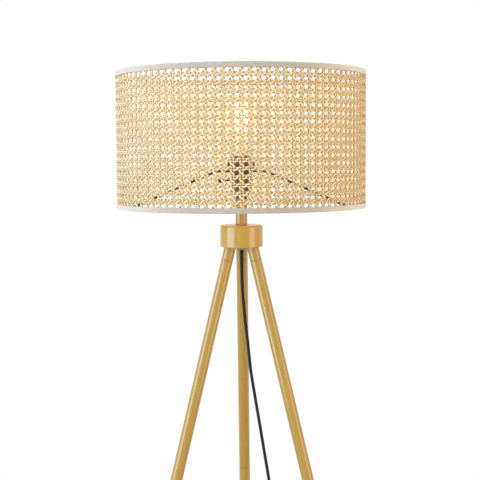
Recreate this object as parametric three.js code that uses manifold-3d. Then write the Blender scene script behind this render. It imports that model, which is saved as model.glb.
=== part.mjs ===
// Tripod floor lamp with a cane drum shade: sectional tube legs screw into a hub, a short stem carries a
// turn-knob lampholder, and a wire fitter clamped on the lampholder carries the shade at its bottom rim.
// Millimetres, +Z up, floor at z = 0. The origin is on the floor under the middle of the lamp.
import * as THREE from 'three';
import { mergeVertices } from 'three/addons/utils/BufferGeometryUtils.js';
import Module from 'manifold-3d';

const wasm = await Module();
wasm.setup();

// Clearance left between neighbours, and how far a cutting body overruns what it cuts
const gap = 0.3;
const overrun = 2;

// Sides of round pieces
const hubSides = 40;
const tubeSides = 16;
const studSides = 8;
const socketSides = 24;
const bulbSides = 20;
const shadeSides = 48;
const wireSides = 6;
const cordSides = 8;

// Legs: three tube sections each, joined by studs, leaning out from a welded stub under the hub
const legTiltAngle = THREE.MathUtils.degToRad(15.2);
const legAzimuthAngles = { rear: 90, left: 210, right: 330 };
const sectionNames = ['upper', 'middle', 'lower'];
const legDiameter = 19;
const legWall = 1.2;
const legRootClearance = 3.3;
const legEdge = 0.5;
const stubLength = 23;
const sectionPitch = 400;
const endPlugLength = 16;
const studDiameter = 8;
const studReach = 13;

// Rubber feet
const footWall = 1.4;
const footCover = 20;
const footPad = 10;
const footEdge = 1.2;

// Hub: a pressed cup closed by a base plate that the leg stubs are welded to
const hubDiameter = 70;
const hubHeight = 35.6;
const hubWall = 2.5;
const hubTopRound = 2.2;
const hubBottomRound = 0.8;
const plateThickness = 3;
const plateSeatWall = 1.2;

// Stem, and the hollow threaded rod that clamps base plate, hub, stem and lampholder together
const stemDiameter = 19;
const stemWall = 1.2;
const stemFootFlare = 0.9;
const stemFootHeight = 2.5;
const rodDiameter = 9.8;
const rodBore = 7.8;
const rodTail = 0.6;
const rodGrip = 11;
const washerDiameter = 17;
const washerThickness = 1.2;
const nutAcrossCorners = 15;
const nutHeight = 3;

// Bushing that lines the rod where the cord leaves it
const bushingCollarDiameter = 9.2;
const bushingCollarHeight = 1.2;
const bushingSleeveDiameter = 7.2;
const bushingSleeveLength = 6;
const bushingBore = 5.8;

// Shade: its heights are measured from its bottom rim, which hangs above the hub's top
const shadeAboveHub = 28.6;
const shadeHeight = 220;
const shadeDiameter = 406.8;
const trimThickness = 0.5;
const trimWidth = 8;
const caneThickness = 1.9;
const rimWireDiameter = 4;

// The cane panel's openings: a plain grid, far coarser than the real webbing's
const caneOpeningColumns = 24;
const caneOpeningRows = 4;
const caneOpeningWidth = 24;
const caneOpeningHeight = 25;

// Fitter: a stamped ring on the lampholder's shoulder, with three wire arms down to the bottom rim wire
const fitterRingDiameter = 52;
const fitterRingThickness = 2;
const armDiameter = 4;
const armBendRadius = 46.6;
const armBendReach = 7;
const armAxisHeight = 59.5;
const armSteps = 18;
const armSlotWidth = 6;

// Lampholder: a cap on the rod, a body with the switch and the bulb's cavity, and the metal inside it. The
// body's heights are measured from the top of its shoulder, where the shade's fitter sits.
const capBottom = 14;
const capNeckDiameter = 18.6;
const capNeckHeight = 5;
const capTaperHeight = 7;
const capTop = 34;
const capChamberDiameter = 24;
const socketDiameter = 33;
const socketEdge = 1.2;
const socketRise = 22.5;
const shoulderDiameter = 40;
const shoulderThickness = 2;
const socketThreadDiameter = 35.2;
const socketThreadRise = 15.5;
const cavityDiameter = 28.6;
const cavityDrop = 4.5;
const wireHoleDiameter = 6;
const screwShellWall = 0.5;
const screwShellInset = 2;
const screwShellHoleDiameter = 12;
const contactDiameter = 8;
const contactHeight = 1.2;

// Clamp ring that screws down on the fitter's ring
const clampDiameter = 45;
const clampHeight = 11;
const clampEdge = 1.2;

// Turn knob on the left of the lampholder
const knobAxisHeight = 44.5;
const knobShaftDiameter = 3;
const knobShaftInset = 6;
const knobDiameter = 7.6;
const knobLength = 9;
const knobReach = 37.6;
const knobBoreDepth = 5;
const knobEdge = 0.8;

// Bulb: medium screw base and a pear-shaped envelope
const bulbLength = 114;
const bulbDiameter = 60;
const bulbWall = 1;
const bulbNeckDiameter = 27;
const bulbTipDiameter = 9;
const bulbTipHeight = 1.5;
const bulbInsulatorDiameter = 19;
const bulbInsulatorHeight = 3;
const bulbBaseDiameter = 26;
const bulbBaseHeight = 22.4;
const bulbBaseEdge = 2.4;
const bulbDomeDropAngle = THREE.MathUtils.degToRad(25);
const bulbNeckPullShare = 0.5;
const bulbDomePullShare = 0.35;
const bulbSteps = 7;

// Mains cord, its coil on the floor, the tie on the coil, and the plug
const cordDiameter = 5.2;
const cordDropSteps = 72;
const cordLeadSteps = 8;
const coilPitch = 5.7;
const coilMeanRadius = 30;
const coilLayerTurns = 3.125;
const coilClimbTurns = 0.5;
const loopSteps = 24;
const loopSides = 6;
const coilX = 183.4;
const coilY = 60;
const tieTurns = 0.625;
const tieThickness = 1;
const tieWidth = 7;
const plugX = 74;
const plugWidth = 26;
const plugHeight = 16;
const plugLength = 30;
const plugEdge = 1.5;
const plugTailShare = 0.62;
const reliefLength = 25;
const reliefRootDiameter = 12;
const reliefTipDiameter = 7;
const bladeWidth = 6.35;
const bladeThickness = 1.52;
const bladeLength = 17;
const bladeSpacing = 12.7;
const bladeChamfer = 1.4;
const floorClearance = 0.2;

// Heights and radii that follow from the sizes above
const legRootRadius = (washerDiameter + legDiameter) / 2 + legRootClearance;
const legRun = stubLength + sectionNames.length * sectionPitch + footPad;
const hubBottom = legRun * Math.cos(legTiltAngle);
const hubTop = hubBottom + hubHeight;
const footCircle = legRootRadius + legRun * Math.sin(legTiltAngle);
const shadeBottom = hubTop + shadeAboveHub;
const shadeTop = shadeBottom + shadeHeight;
const capBase = shadeBottom + capBottom;
const shoulderTop = shadeBottom + armAxisHeight + armDiameter / 2;
const socketTop = shoulderTop + socketRise;
const socketThreadTop = shoulderTop + socketThreadRise;
const cavityFloor = shoulderTop - cavityDrop;
const fitterRingTop = shoulderTop + gap + fitterRingThickness;
const rodHole = rodDiameter / 2 + gap;
const rodBottom = hubBottom - washerThickness - nutHeight - 2 * gap - rodTail;
const cordExit = rodBottom - 2 * gap - bushingCollarHeight;
const knobHeight = shadeBottom + knobAxisHeight;
const caneOuter = shadeDiameter / 2 - trimThickness - gap;
const caneInner = caneOuter - caneThickness;
const rimWireRadius = caneInner - gap - rimWireDiameter / 2;
const trimInner = rimWireRadius - rimWireDiameter / 2 - gap - trimThickness;
const rimInset = trimThickness + gap;
const threadHole = socketThreadDiameter / 2 + gap;
const bulbTip = cavityFloor + contactHeight + 2 * gap;
const coilBottomLayer = floorClearance + tieThickness + gap + cordDiameter / 2;
const coilInner = coilMeanRadius - (coilLayerTurns * coilPitch) / 2;
const coilOuter = coilMeanRadius + (coilLayerTurns * coilPitch) / 2;
const plugAxis = floorClearance + plugHeight / 2;

// Finishes
function finish(color, roughness, metalness = 0) {
  return new THREE.MeshStandardMaterial({ color, roughness, metalness });
}

const ochrePaint = finish(0xcba246, 0.42);
const plainSteel = finish(0x8c8c88, 0.45, 0.9);
const blackPhenolic = finish(0x2a211d, 0.28);
const blackWire = finish(0x24221f, 0.5, 0.3);
const wovenCane = finish(0xe2c793, 0.6);
const linenTape = finish(0xd6d0c4, 0.85);
const blackRubber = finish(0x222220, 0.8);
const blackVinyl = finish(0x262422, 0.55);
const brass = finish(0xb9974f, 0.35, 0.9);
const aluminium = finish(0xc9c8c4, 0.35, 0.9);
const frostedGlass = finish(0xfff3dc, 0.5);
const blackGlass = finish(0x17181a, 0.2);

// Every piece is placed about the stem's axis in this group
const lamp = new THREE.Group();

function place(name, geometry, material) {
  const mesh = new THREE.Mesh(geometry, material);
  mesh.name = name;
  lamp.add(mesh);
}

// A body turned about Z from [radius, height] pairs, listed with its outer wall upwards
function turned(profile, sides) {
  const points = profile.map(([radius, height]) => new THREE.Vector2(radius, height));
  return new THREE.LatheGeometry(points, sides).rotateX(Math.PI / 2);
}

function sleeve(outer, inner, low, high, sides) {
  return turned([[outer, low], [outer, high], [inner, high], [inner, low], [outer, low]], sides);
}

// Points of an arc in a turned profile
function arc(centreRadius, centreHeight, size, from, to, steps) {
  const points = [];
  for (let step = 0; step <= steps; step += 1) {
    const angle = from + ((to - from) * step) / steps;
    points.push([centreRadius + size * Math.cos(angle), centreHeight + size * Math.sin(angle)]);
  }
  return points;
}

// A many-sided outline, as a round bar's section or a nut
function polygon(diameter, sides) {
  const outline = new THREE.Shape();
  for (let side = 0; side < sides; side += 1) {
    const angle = (2 * Math.PI * side) / sides;
    const x = (diameter / 2) * Math.cos(angle);
    const y = (diameter / 2) * Math.sin(angle);
    if (side === 0) outline.moveTo(x, y);
    else outline.lineTo(x, y);
  }
  return outline;
}

function bar(curve, diameter, sides, steps) {
  return new THREE.ExtrudeGeometry(polygon(diameter, sides), { extrudePath: curve, steps });
}

function slab(width, depth, height, x, y, z) {
  return new THREE.BoxGeometry(width, depth, height).translate(x, y, z);
}

// Joins and cuts
function toSolid(geometry) {
  const bare = geometry.clone();
  bare.deleteAttribute('normal');
  bare.deleteAttribute('uv');
  const merged = mergeVertices(bare);
  const corners = merged.index.array;
  const triangles = [];
  for (let i = 0; i < corners.length; i += 3) {
    const [a, b, c] = corners.slice(i, i + 3);
    if (a !== b && b !== c && c !== a) triangles.push(a, b, c);
  }
  return new wasm.Manifold(new wasm.Mesh({
    numProp: 3,
    vertProperties: new Float32Array(merged.attributes.position.array),
    triVerts: new Uint32Array(triangles),
  }));
}

function toGeometry(solid) {
  const mesh = solid.getMesh();
  const geometry = new THREE.BufferGeometry();
  geometry.setAttribute('position', new THREE.BufferAttribute(mesh.vertProperties, 3));
  geometry.setIndex(new THREE.BufferAttribute(mesh.triVerts, 1));
  geometry.computeVertexNormals();
  return geometry;
}

const cut = (body, tool) => toGeometry(toSolid(body).subtract(toSolid(tool)));
const join = (body, other) => toGeometry(toSolid(body).add(toSolid(other)));
const overlap = (body, other) => toGeometry(toSolid(body).intersect(toSolid(other)));

function cutAll(body, tools) {
  return toGeometry(tools.reduce((solid, tool) => solid.subtract(toSolid(tool)), toSolid(body)));
}

// Legs

// A leg's own frame: +Z runs down the leg from the hub's underside
function legFrame(azimuth) {
  const turn = THREE.MathUtils.degToRad(azimuth);
  const frame = new THREE.Matrix4();
  frame.makeRotationFromEuler(new THREE.Euler(0, Math.PI - legTiltAngle, turn, 'ZYX'));
  frame.setPosition(legRootRadius * Math.cos(turn), legRootRadius * Math.sin(turn), hubBottom);
  return frame;
}

// The part of a leg piece that lies between two level planes of the lamp
function between(geometry, frame, low, high) {
  const span = 2 * (footCircle + hubDiameter);
  const layer = slab(span, span, high - low, 0, 0, (low + high) / 2);
  return overlap(geometry, layer.applyMatrix4(frame.clone().invert()));
}

function legStub(frame) {
  const outer = legDiameter / 2;
  const bore = studDiameter / 2 + gap;
  const stub = turned([
    [outer, -legDiameter], [outer, stubLength - legEdge], [outer - legEdge, stubLength], [bore, stubLength],
    [bore, -legDiameter], [outer, -legDiameter],
  ], tubeSides);
  return between(stub, frame, hubBottom - 2 * stubLength, hubBottom - gap);
}

// A leg tube with a bored plug in each end, which the joint studs screw into
function legTube(start, end) {
  const outer = legDiameter / 2;
  const inner = outer - legWall;
  const bore = studDiameter / 2 + gap;
  return turned([
    [outer - legEdge, start], [outer, start + legEdge], [outer, end - legEdge], [outer - legEdge, end],
    [bore, end], [bore, end - endPlugLength], [inner, end - endPlugLength], [inner, start + endPlugLength],
    [bore, start + endPlugLength], [bore, start], [outer - legEdge, start],
  ], tubeSides);
}

function jointStud(seam) {
  const radius = studDiameter / 2;
  const low = seam - studReach;
  const high = seam + studReach;
  return turned([
    [0, low], [radius - legEdge, low], [radius, low + legEdge], [radius, high - legEdge],
    [radius - legEdge, high], [0, high],
  ], studSides);
}

// A rubber cap over the leg's end, level where it stands on the floor
function foot(frame) {
  const inner = legDiameter / 2 + gap;
  const outer = inner + footWall;
  const seat = legRun - footPad + gap;
  const mouth = seat - footCover;
  const below = legRun + outer;
  const cap = turned([
    [0, seat], [inner, seat], [inner, mouth], [outer - footEdge, mouth], [outer, mouth + footEdge],
    [outer, below], [0, below],
  ], tubeSides);
  return between(cap, frame, 0, hubBottom);
}

for (const [side, azimuth] of Object.entries(legAzimuthAngles)) {
  const frame = legFrame(azimuth);
  place(`leg_stub_${side}`, legStub(frame).applyMatrix4(frame), ochrePaint);
  sectionNames.forEach((section, index) => {
    const seam = stubLength + index * sectionPitch;
    place(`leg_${section}_${side}`, legTube(seam + gap, seam + sectionPitch).applyMatrix4(frame), ochrePaint);
    place(`leg_stud_${section}_${side}`, jointStud(seam).applyMatrix4(frame), plainSteel);
  });
  place(`foot_${side}`, foot(frame).applyMatrix4(frame), blackRubber);
}

// Hub
function hubShell() {
  const outer = hubDiameter / 2;
  const inner = outer - hubWall;
  const seat = outer - plateSeatWall;
  const ledge = hubBottom + plateThickness + gap;
  return turned([
    [outer - hubBottomRound, hubBottom],
    [outer, hubBottom + hubBottomRound],
    ...arc(outer - hubTopRound, hubTop - hubTopRound, hubTopRound, 0, Math.PI / 2, 3),
    [rodHole, hubTop], [rodHole, hubTop - hubWall], [inner, hubTop - hubWall], [inner, ledge], [seat, ledge],
    [seat, hubBottom], [outer - hubBottomRound, hubBottom],
  ], hubSides);
}

const plateRadius = hubDiameter / 2 - plateSeatWall - gap;
const plateTop = hubBottom + plateThickness;
place('hub_shell', hubShell(), ochrePaint);
place('hub_base_plate', sleeve(plateRadius, rodHole, hubBottom, plateTop, hubSides), ochrePaint);

// Stem, rod and what is screwed on the rod's lower end
function stemTube() {
  const outer = stemDiameter / 2;
  const inner = outer - stemWall;
  const low = hubTop + gap;
  const high = capBase - gap;
  return turned([
    [outer + stemFootFlare, low], [outer, low + stemFootHeight], [outer, high], [inner, high], [inner, low],
    [outer + stemFootFlare, low],
  ], socketSides);
}

function hexNut(top) {
  const outline = polygon(nutAcrossCorners, 6);
  outline.holes.push(new THREE.Path().absarc(0, 0, rodHole, 0, 2 * Math.PI, true));
  const options = { depth: nutHeight, bevelEnabled: false, curveSegments: tubeSides };
  return new THREE.ExtrudeGeometry(outline, options).translate(0, 0, top - nutHeight);
}

function cordBushing() {
  const collar = bushingCollarDiameter / 2;
  const outer = bushingSleeveDiameter / 2;
  const bore = bushingBore / 2;
  const low = cordExit + gap;
  const seat = low + bushingCollarHeight;
  const high = seat + bushingSleeveLength;
  return turned([
    [collar, low], [collar, seat], [outer, seat], [outer, high], [bore, high], [bore, low], [collar, low],
  ], tubeSides);
}

const rod = sleeve(rodDiameter / 2, rodBore / 2, rodBottom, capBase + rodGrip, tubeSides);
const washerTop = hubBottom - gap;
const washerBottom = washerTop - washerThickness;
place('stem_tube', stemTube(), ochrePaint);
place('threaded_rod', rod, plainSteel);
place('rod_washer', sleeve(washerDiameter / 2, rodHole, washerBottom, washerTop, tubeSides), blackWire);
place('rod_nut', hexNut(washerBottom - gap), ochrePaint);
place('cord_bushing', cordBushing(), blackPhenolic);

// Lampholder
function socketCap() {
  const neck = capNeckDiameter / 2;
  const outer = socketDiameter / 2;
  const chamber = capChamberDiameter / 2;
  const taperTop = capBase + capNeckHeight + capTaperHeight;
  const high = shadeBottom + capTop;
  return turned([
    [neck, capBase], [neck, capBase + capNeckHeight], [outer, taperTop], [outer, high], [chamber, high],
    [chamber, taperTop], [rodHole, taperTop], [rodHole, capBase], [neck, capBase],
  ], socketSides);
}

function socketBody() {
  const outer = socketDiameter / 2;
  const thread = socketThreadDiameter / 2;
  const shoulder = shoulderDiameter / 2;
  const cavity = cavityDiameter / 2;
  const wireHole = wireHoleDiameter / 2;
  const low = shadeBottom + capTop + gap;
  const shoulderBottom = shoulderTop - shoulderThickness;
  const body = turned([
    [outer, low], [outer, shoulderBottom - socketEdge], [shoulder, shoulderBottom], [shoulder, shoulderTop],
    [thread, shoulderTop], [thread, socketThreadTop], [outer, socketThreadTop + socketEdge],
    [outer, socketTop - socketEdge], [outer - socketEdge, socketTop], [cavity, socketTop],
    [cavity, cavityFloor], [wireHole, cavityFloor], [wireHole, low], [outer, low],
  ], socketSides);
  const boreRadius = knobShaftDiameter / 2 + gap;
  const boreLength = knobShaftInset + gap + overrun;
  const shaftBore = new THREE.CylinderGeometry(boreRadius, boreRadius, boreLength, cordSides);
  shaftBore.rotateZ(Math.PI / 2).translate(boreLength / 2 - outer - overrun, 0, knobHeight);
  return cut(body, shaftBore);
}

function screwShell() {
  const outer = cavityDiameter / 2 - gap;
  const inner = outer - screwShellWall;
  const hole = screwShellHoleDiameter / 2;
  const low = cavityFloor + gap;
  const high = socketTop - screwShellInset;
  return turned([
    [outer, low], [outer, high], [inner, high], [inner, low + screwShellWall], [hole, low + screwShellWall],
    [hole, low], [outer, low],
  ], socketSides);
}

const contactBottom = cavityFloor + gap;
const contactRadius = contactDiameter / 2;
const contactTop = contactBottom + contactHeight;
place('socket_cap', socketCap(), blackPhenolic);
place('socket_body', socketBody(), blackPhenolic);
place('socket_screw_shell', screwShell(), aluminium);
place('socket_contact', turned([
  [0, contactBottom], [contactRadius, contactBottom], [contactRadius, contactTop], [0, contactTop],
], studSides), brass);

// The supply lead that the rod and the cap hold, up to the switch
const leadStart = new THREE.Vector3(0, 0, cordExit + gap);
const leadEnd = new THREE.Vector3(0, 0, shadeBottom + capTop - gap);
place('inner_lead', bar(new THREE.LineCurve3(leadStart, leadEnd), cordDiameter, cordSides, 1), blackVinyl);

// Turn knob and its shaft: turned about Z, then laid along -X
function laidLeft(geometry) {
  return geometry.rotateY(-Math.PI / 2).translate(0, 0, knobHeight);
}

function knobShaft() {
  const radius = knobShaftDiameter / 2;
  const start = socketDiameter / 2 - knobShaftInset;
  const end = knobReach - knobLength + knobBoreDepth - gap;
  return turned([[0, start], [radius, start], [radius, end], [0, end]], cordSides);
}

function switchKnob() {
  const outer = knobDiameter / 2;
  const bore = knobShaftDiameter / 2 + gap;
  const mouth = knobReach - knobLength;
  return turned([
    [0, mouth + knobBoreDepth], [bore, mouth + knobBoreDepth], [bore, mouth], [outer - knobEdge, mouth],
    [outer, mouth + knobEdge], [outer, knobReach - knobEdge], [outer - knobEdge, knobReach], [0, knobReach],
  ], tubeSides);
}

place('switch_shaft', laidLeft(knobShaft()), blackPhenolic);
place('switch_knob', laidLeft(switchKnob()), blackPhenolic);

// Clamp ring
function clampRing() {
  const outer = clampDiameter / 2;
  const low = fitterRingTop + gap;
  const high = low + clampHeight;
  return turned([
    [outer - clampEdge, low], [outer, low + clampEdge], [outer, high - clampEdge], [outer - clampEdge, high],
    [threadHole, high], [threadHole, low], [outer - clampEdge, low],
  ], socketSides);
}

place('clamp_ring', clampRing(), blackPhenolic);

// Shade fitter
const rimWireBottom = shadeBottom + rimInset + rimWireDiameter / 2;
const rimWireTop = shadeTop - rimInset - rimWireDiameter / 2;

function fitterArm(azimuth) {
  const start = new THREE.Vector3(shoulderDiameter / 2 + gap, 0, shadeBottom + armAxisHeight);
  const bend = new THREE.Vector3(armBendRadius, 0, shadeBottom + armAxisHeight);
  const rim = new THREE.Vector3(rimWireRadius, 0, rimWireBottom);
  const slope = rim.clone().sub(bend).normalize();
  const end = rim.clone().addScaledVector(slope, -(rimWireDiameter / 2 + gap));
  const before = bend.clone().setX(armBendRadius - armBendReach);
  const after = bend.clone().addScaledVector(slope, armBendReach);
  const path = new THREE.CurvePath();
  path.add(new THREE.LineCurve3(start, before));
  path.add(new THREE.QuadraticBezierCurve3(before, bend, after));
  path.add(new THREE.LineCurve3(after, end));
  return bar(path, armDiameter, wireSides, armSteps).rotateZ(THREE.MathUtils.degToRad(azimuth));
}

function rimWire(height) {
  const wire = new THREE.TorusGeometry(rimWireRadius, rimWireDiameter / 2, wireSides, shadeSides);
  return wire.translate(0, 0, height);
}

const fitterRingBottom = fitterRingTop - fitterRingThickness;
const fitterRing = sleeve(fitterRingDiameter / 2, threadHole, fitterRingBottom, fitterRingTop, socketSides);
place('fitter_ring', fitterRing, blackWire);
for (const [side, azimuth] of Object.entries(legAzimuthAngles)) {
  place(`fitter_arm_${side}`, fitterArm(azimuth), blackWire);
}
place('bottom_rim_wire', rimWire(rimWireBottom), blackWire);
place('top_rim_wire', rimWire(rimWireTop), blackWire);

// Cane panel and the tapes folded over its two rims
function rimTape(rim, inward) {
  const outer = shadeDiameter / 2;
  const edge = rim + inward * trimWidth;
  const bed = rim + inward * trimThickness;
  const profile = [
    [outer, rim], [outer, edge], [outer - trimThickness, edge], [outer - trimThickness, bed],
    [trimInner + trimThickness, bed], [trimInner + trimThickness, edge], [trimInner, edge], [trimInner, rim],
    [outer, rim],
  ];
  return turned(inward > 0 ? profile : profile.reverse(), shadeSides);
}

// The bottom tape is notched inside for the fitter's arms
function notchedTape() {
  let tape = rimTape(shadeBottom, 1);
  const low = shadeBottom + trimThickness;
  const high = shadeBottom + trimWidth + overrun;
  for (const azimuth of Object.values(legAzimuthAngles)) {
    const width = trimThickness + gap + overrun;
    const notch = slab(width, armSlotWidth, high - low, trimInner + width / 2 - overrun, 0, (low + high) / 2);
    tape = cut(tape, notch.rotateZ(THREE.MathUtils.degToRad(azimuth)));
  }
  return tape;
}

// Each opening lies in the middle of a flat of the faceted drum
function canePanel() {
  const drum = sleeve(caneOuter, caneInner, shadeBottom + rimInset, shadeTop - rimInset, shadeSides);
  const depth = caneThickness + 2 * overrun;
  const middleRadius = (caneOuter + caneInner) / 2;
  const rowPitch = (shadeHeight - 2 * trimWidth) / caneOpeningRows;
  const firstRow = shadeBottom + trimWidth + rowPitch / 2;
  const firstTurn = Math.PI / shadeSides - Math.PI / 2;
  const openings = [];
  for (let column = 0; column < caneOpeningColumns; column += 1) {
    const turn = firstTurn + (2 * Math.PI * column) / caneOpeningColumns;
    for (let row = 0; row < caneOpeningRows; row += 1) {
      const height = firstRow + row * rowPitch;
      const opening = slab(depth, caneOpeningWidth, caneOpeningHeight, middleRadius, 0, height);
      openings.push(opening.rotateZ(turn));
    }
  }
  return cutAll(drum, openings);
}

place('cane_panel', canePanel(), wovenCane);
place('top_rim_tape', rimTape(shadeTop, -1), linenTape);
place('bottom_rim_tape', notchedTape(), linenTape);

// Bulb
const insulatorBottom = bulbTip + bulbTipHeight;
const insulatorTop = insulatorBottom + bulbInsulatorHeight;
const bulbBaseTop = insulatorTop + gap + bulbBaseHeight;

function bulbContact() {
  return turned([
    [0, bulbTip], [bulbTipDiameter / 2, bulbTip], [bulbTipDiameter / 2, insulatorBottom],
    [bulbInsulatorDiameter / 2, insulatorTop], [0, insulatorTop],
  ], socketSides);
}

function bulbBase() {
  const outer = bulbBaseDiameter / 2;
  const inner = outer - bulbWall;
  const low = insulatorTop + gap;
  const rim = bulbInsulatorDiameter / 2;
  return turned([
    [rim, low], [outer, low + bulbBaseEdge], [outer, bulbBaseTop], [inner, bulbBaseTop],
    [inner, low + bulbBaseEdge], [rim - bulbWall, low], [rim, low],
  ], socketSides);
}

// The envelope's outline, drawn in by an inset for its inside
function bulbOutline(low, inset) {
  const dome = bulbDiameter / 2 - inset;
  const domeHeight = bulbTip + bulbLength - bulbDiameter / 2;
  const shoulderRadius = dome * Math.cos(bulbDomeDropAngle);
  const shoulderHeight = domeHeight - dome * Math.sin(bulbDomeDropAngle);
  const neck = bulbNeckDiameter / 2 - inset;
  const rise = shoulderHeight - low;
  const pull = bulbDomePullShare * rise;
  const shoulder = new THREE.Vector2(shoulderRadius, shoulderHeight);
  const shoulderPull = new THREE.Vector2(Math.sin(bulbDomeDropAngle), Math.cos(bulbDomeDropAngle));
  const flank = new THREE.CubicBezierCurve(
    new THREE.Vector2(neck, low),
    new THREE.Vector2(neck, low + bulbNeckPullShare * rise),
    shoulder.clone().addScaledVector(shoulderPull, -pull),
    shoulder,
  );
  const points = flank.getPoints(bulbSteps).map((point) => [point.x, point.y]);
  points.pop();
  const crown = arc(0, domeHeight, dome, -bulbDomeDropAngle, Math.PI / 2, bulbSteps);
  crown.pop();
  return [[0, low], ...points, ...crown, [0, domeHeight + dome]];
}

function bulbGlass() {
  const low = bulbBaseTop + gap;
  const outside = turned(bulbOutline(low, 0), bulbSides);
  const inside = turned(bulbOutline(low - overrun, bulbWall), bulbSides);
  return cut(outside, inside);
}

place('bulb_glass', bulbGlass(), frostedGlass);
place('bulb_base', bulbBase(), aluminium);
place('bulb_contact', bulbContact(), blackGlass);

// The middle of the whole lamp, its cord left aside, becomes the origin
const bounds = new THREE.Box3().setFromObject(lamp, true);
lamp.position.y = -(bounds.min.y + bounds.max.y) / 2;
console.log(`stem axis at y = ${lamp.position.y.toFixed(4)} mm`);

// Coil: spirals in on the floor, climbs where it turns back, and spirals out on top
function coilPoint(turn) {
  const radius = turn < coilLayerTurns
    ? coilOuter - coilPitch * turn
    : coilInner + coilPitch * (turn - coilLayerTurns);
  const climb = THREE.MathUtils.smoothstep(turn - coilLayerTurns, -coilClimbTurns / 2, coilClimbTurns / 2);
  const angle = 2 * Math.PI * turn;
  return new THREE.Vector3(coilX + radius * Math.cos(angle), coilY + radius * Math.sin(angle),
    coilBottomLayer + coilPitch * climb);
}

const coilTurns = 2 * coilLayerTurns;
const coilSteps = Math.round(coilTurns * loopSteps);
const coilPath = [];
for (let step = 0; step <= coilSteps; step += 1) {
  coilPath.push(coilPoint((coilTurns * step) / coilSteps));
}

// Both ends run straight and level for one cord diameter
function levelHeading(from, to) {
  return to.clone().sub(from).setZ(0).normalize();
}

const coilEntryHeading = levelHeading(coilPath[0], coilPath[1]);
const coilExitHeading = levelHeading(coilPath[coilSteps - 1], coilPath[coilSteps]);
coilPath.unshift(coilPath[0].clone().addScaledVector(coilEntryHeading, -cordDiameter));
coilPath.push(coilPath[coilPath.length - 1].clone().addScaledVector(coilExitHeading, cordDiameter));

// One unbroken tube with a ring of points at each step of the path
function coilTube() {
  const positions = [];
  const triangles = [];
  const last = coilPath.length - 1;
  const up = new THREE.Vector3(0, 0, 1);
  coilPath.forEach((centre, step) => {
    const ahead = coilPath[Math.min(step + 1, last)];
    const behind = coilPath[Math.max(step - 1, 0)];
    const heading = ahead.clone().sub(behind).normalize();
    const side = heading.clone().cross(up).normalize();
    const rise = side.clone().cross(heading);
    for (let corner = 0; corner < loopSides; corner += 1) {
      const angle = (2 * Math.PI * corner) / loopSides;
      const point = centre.clone()
        .addScaledVector(side, (cordDiameter / 2) * Math.cos(angle))
        .addScaledVector(rise, (cordDiameter / 2) * Math.sin(angle));
      positions.push(point.x, point.y, point.z);
    }
  });
  for (let step = 0; step < last; step += 1) {
    for (let corner = 0; corner < loopSides; corner += 1) {
      const next = (corner + 1) % loopSides;
      const a = step * loopSides + corner;
      const b = step * loopSides + next;
      triangles.push(a, a + loopSides, b, b, a + loopSides, b + loopSides);
    }
  }
  for (let corner = 1; corner < loopSides - 1; corner += 1) {
    const end = last * loopSides;
    triangles.push(0, corner, corner + 1, end, end + corner + 1, end + corner);
  }
  const geometry = new THREE.BufferGeometry();
  geometry.setAttribute('position', new THREE.Float32BufferAttribute(positions, 3));
  geometry.setIndex(triangles);
  geometry.computeVertexNormals();
  return geometry;
}

// Least gap between points of the coil that are half a loop or more apart
let coilGap = Infinity;
for (let one = 0; one < coilPath.length; one += 1) {
  for (let other = one + loopSteps / 2; other < coilPath.length; other += 1) {
    coilGap = Math.min(coilGap, coilPath[one].distanceTo(coilPath[other]) - cordDiameter);
  }
}
let coilLength = 0;
for (let step = 1; step < coilPath.length; step += 1) {
  coilLength += coilPath[step].distanceTo(coilPath[step - 1]);
}
console.log(`coil: ${coilTurns} turns, ${coilLength.toFixed(0)} mm`);
console.log(`coil's least gap to itself: ${coilGap.toFixed(2)} mm`);

place('cord_coil', coilTube(), blackVinyl);

// Tie: a band round all the coil's strands
function coilTie() {
  const radii = [];
  for (let turn = tieTurns; turn < coilTurns; turn += 1) {
    const point = coilPoint(turn);
    radii.push(Math.hypot(point.x - coilX, point.y - coilY));
  }
  const clearance = cordDiameter / 2 + gap;
  const inner = Math.sqrt(Math.min(...radii) ** 2 - (tieWidth / 2) ** 2) - clearance;
  const outer = Math.max(...radii) + clearance;
  const low = coilBottomLayer - clearance;
  const high = coilBottomLayer + coilPitch + clearance;
  const width = outer - inner;
  const height = high - low;
  const block = slab(width + 2 * tieThickness, tieWidth, height + 2 * tieThickness, 0, 0, 0);
  const space = slab(width, tieWidth + 2 * overrun, height, 0, 0, 0);
  const band = cut(block, space).translate((inner + outer) / 2, 0, (low + high) / 2);
  return band.rotateZ(2 * Math.PI * tieTurns).translate(coilX, coilY, 0);
}

place('cord_tie', coilTie(), blackVinyl);

// Cord: from the bushing down to the floor and into the coil, about the stem's axis
const coilStart = coilPath[0].clone().addScaledVector(coilEntryHeading, -gap);
const coilApproach = coilStart.clone().addScaledVector(coilEntryHeading, -cordDiameter);
const dropRoute = [
  [0, 0, cordExit], [0, 0, 1166], [0.2, 0, 1150], [1, -0.5, 1120], [2.6, -1, 1098], [5.4, -1, 1066],
  [9.2, -1, 1032], [14.3, -1, 981], [20.7, -1, 940], [27.2, -1, 900], [33.6, -1, 860], [40, -1, 820],
  [49.6, -1, 760], [60.2, -1, 700], [75.4, -1, 620], [92.2, -2, 540], [110, -3, 460], [128.8, -4, 380],
  [148.2, -5, 300], [168, -6, 220], [184.6, -6.6, 150], [198.2, -6.5, 90], [205.8, -4, 56], [211.6, 3, 30],
  [216, 15, 12.5], [219.4, 30, 4.8], coilApproach.toArray(), coilStart.toArray(),
];
const coilEnd = coilPath[coilPath.length - 1].clone().addScaledVector(coilExitHeading, gap);
const coilDeparture = coilEnd.clone().addScaledVector(coilExitHeading, cordDiameter);
const plugTip = new THREE.Vector3(plugX, coilEnd.y, plugAxis);
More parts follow.
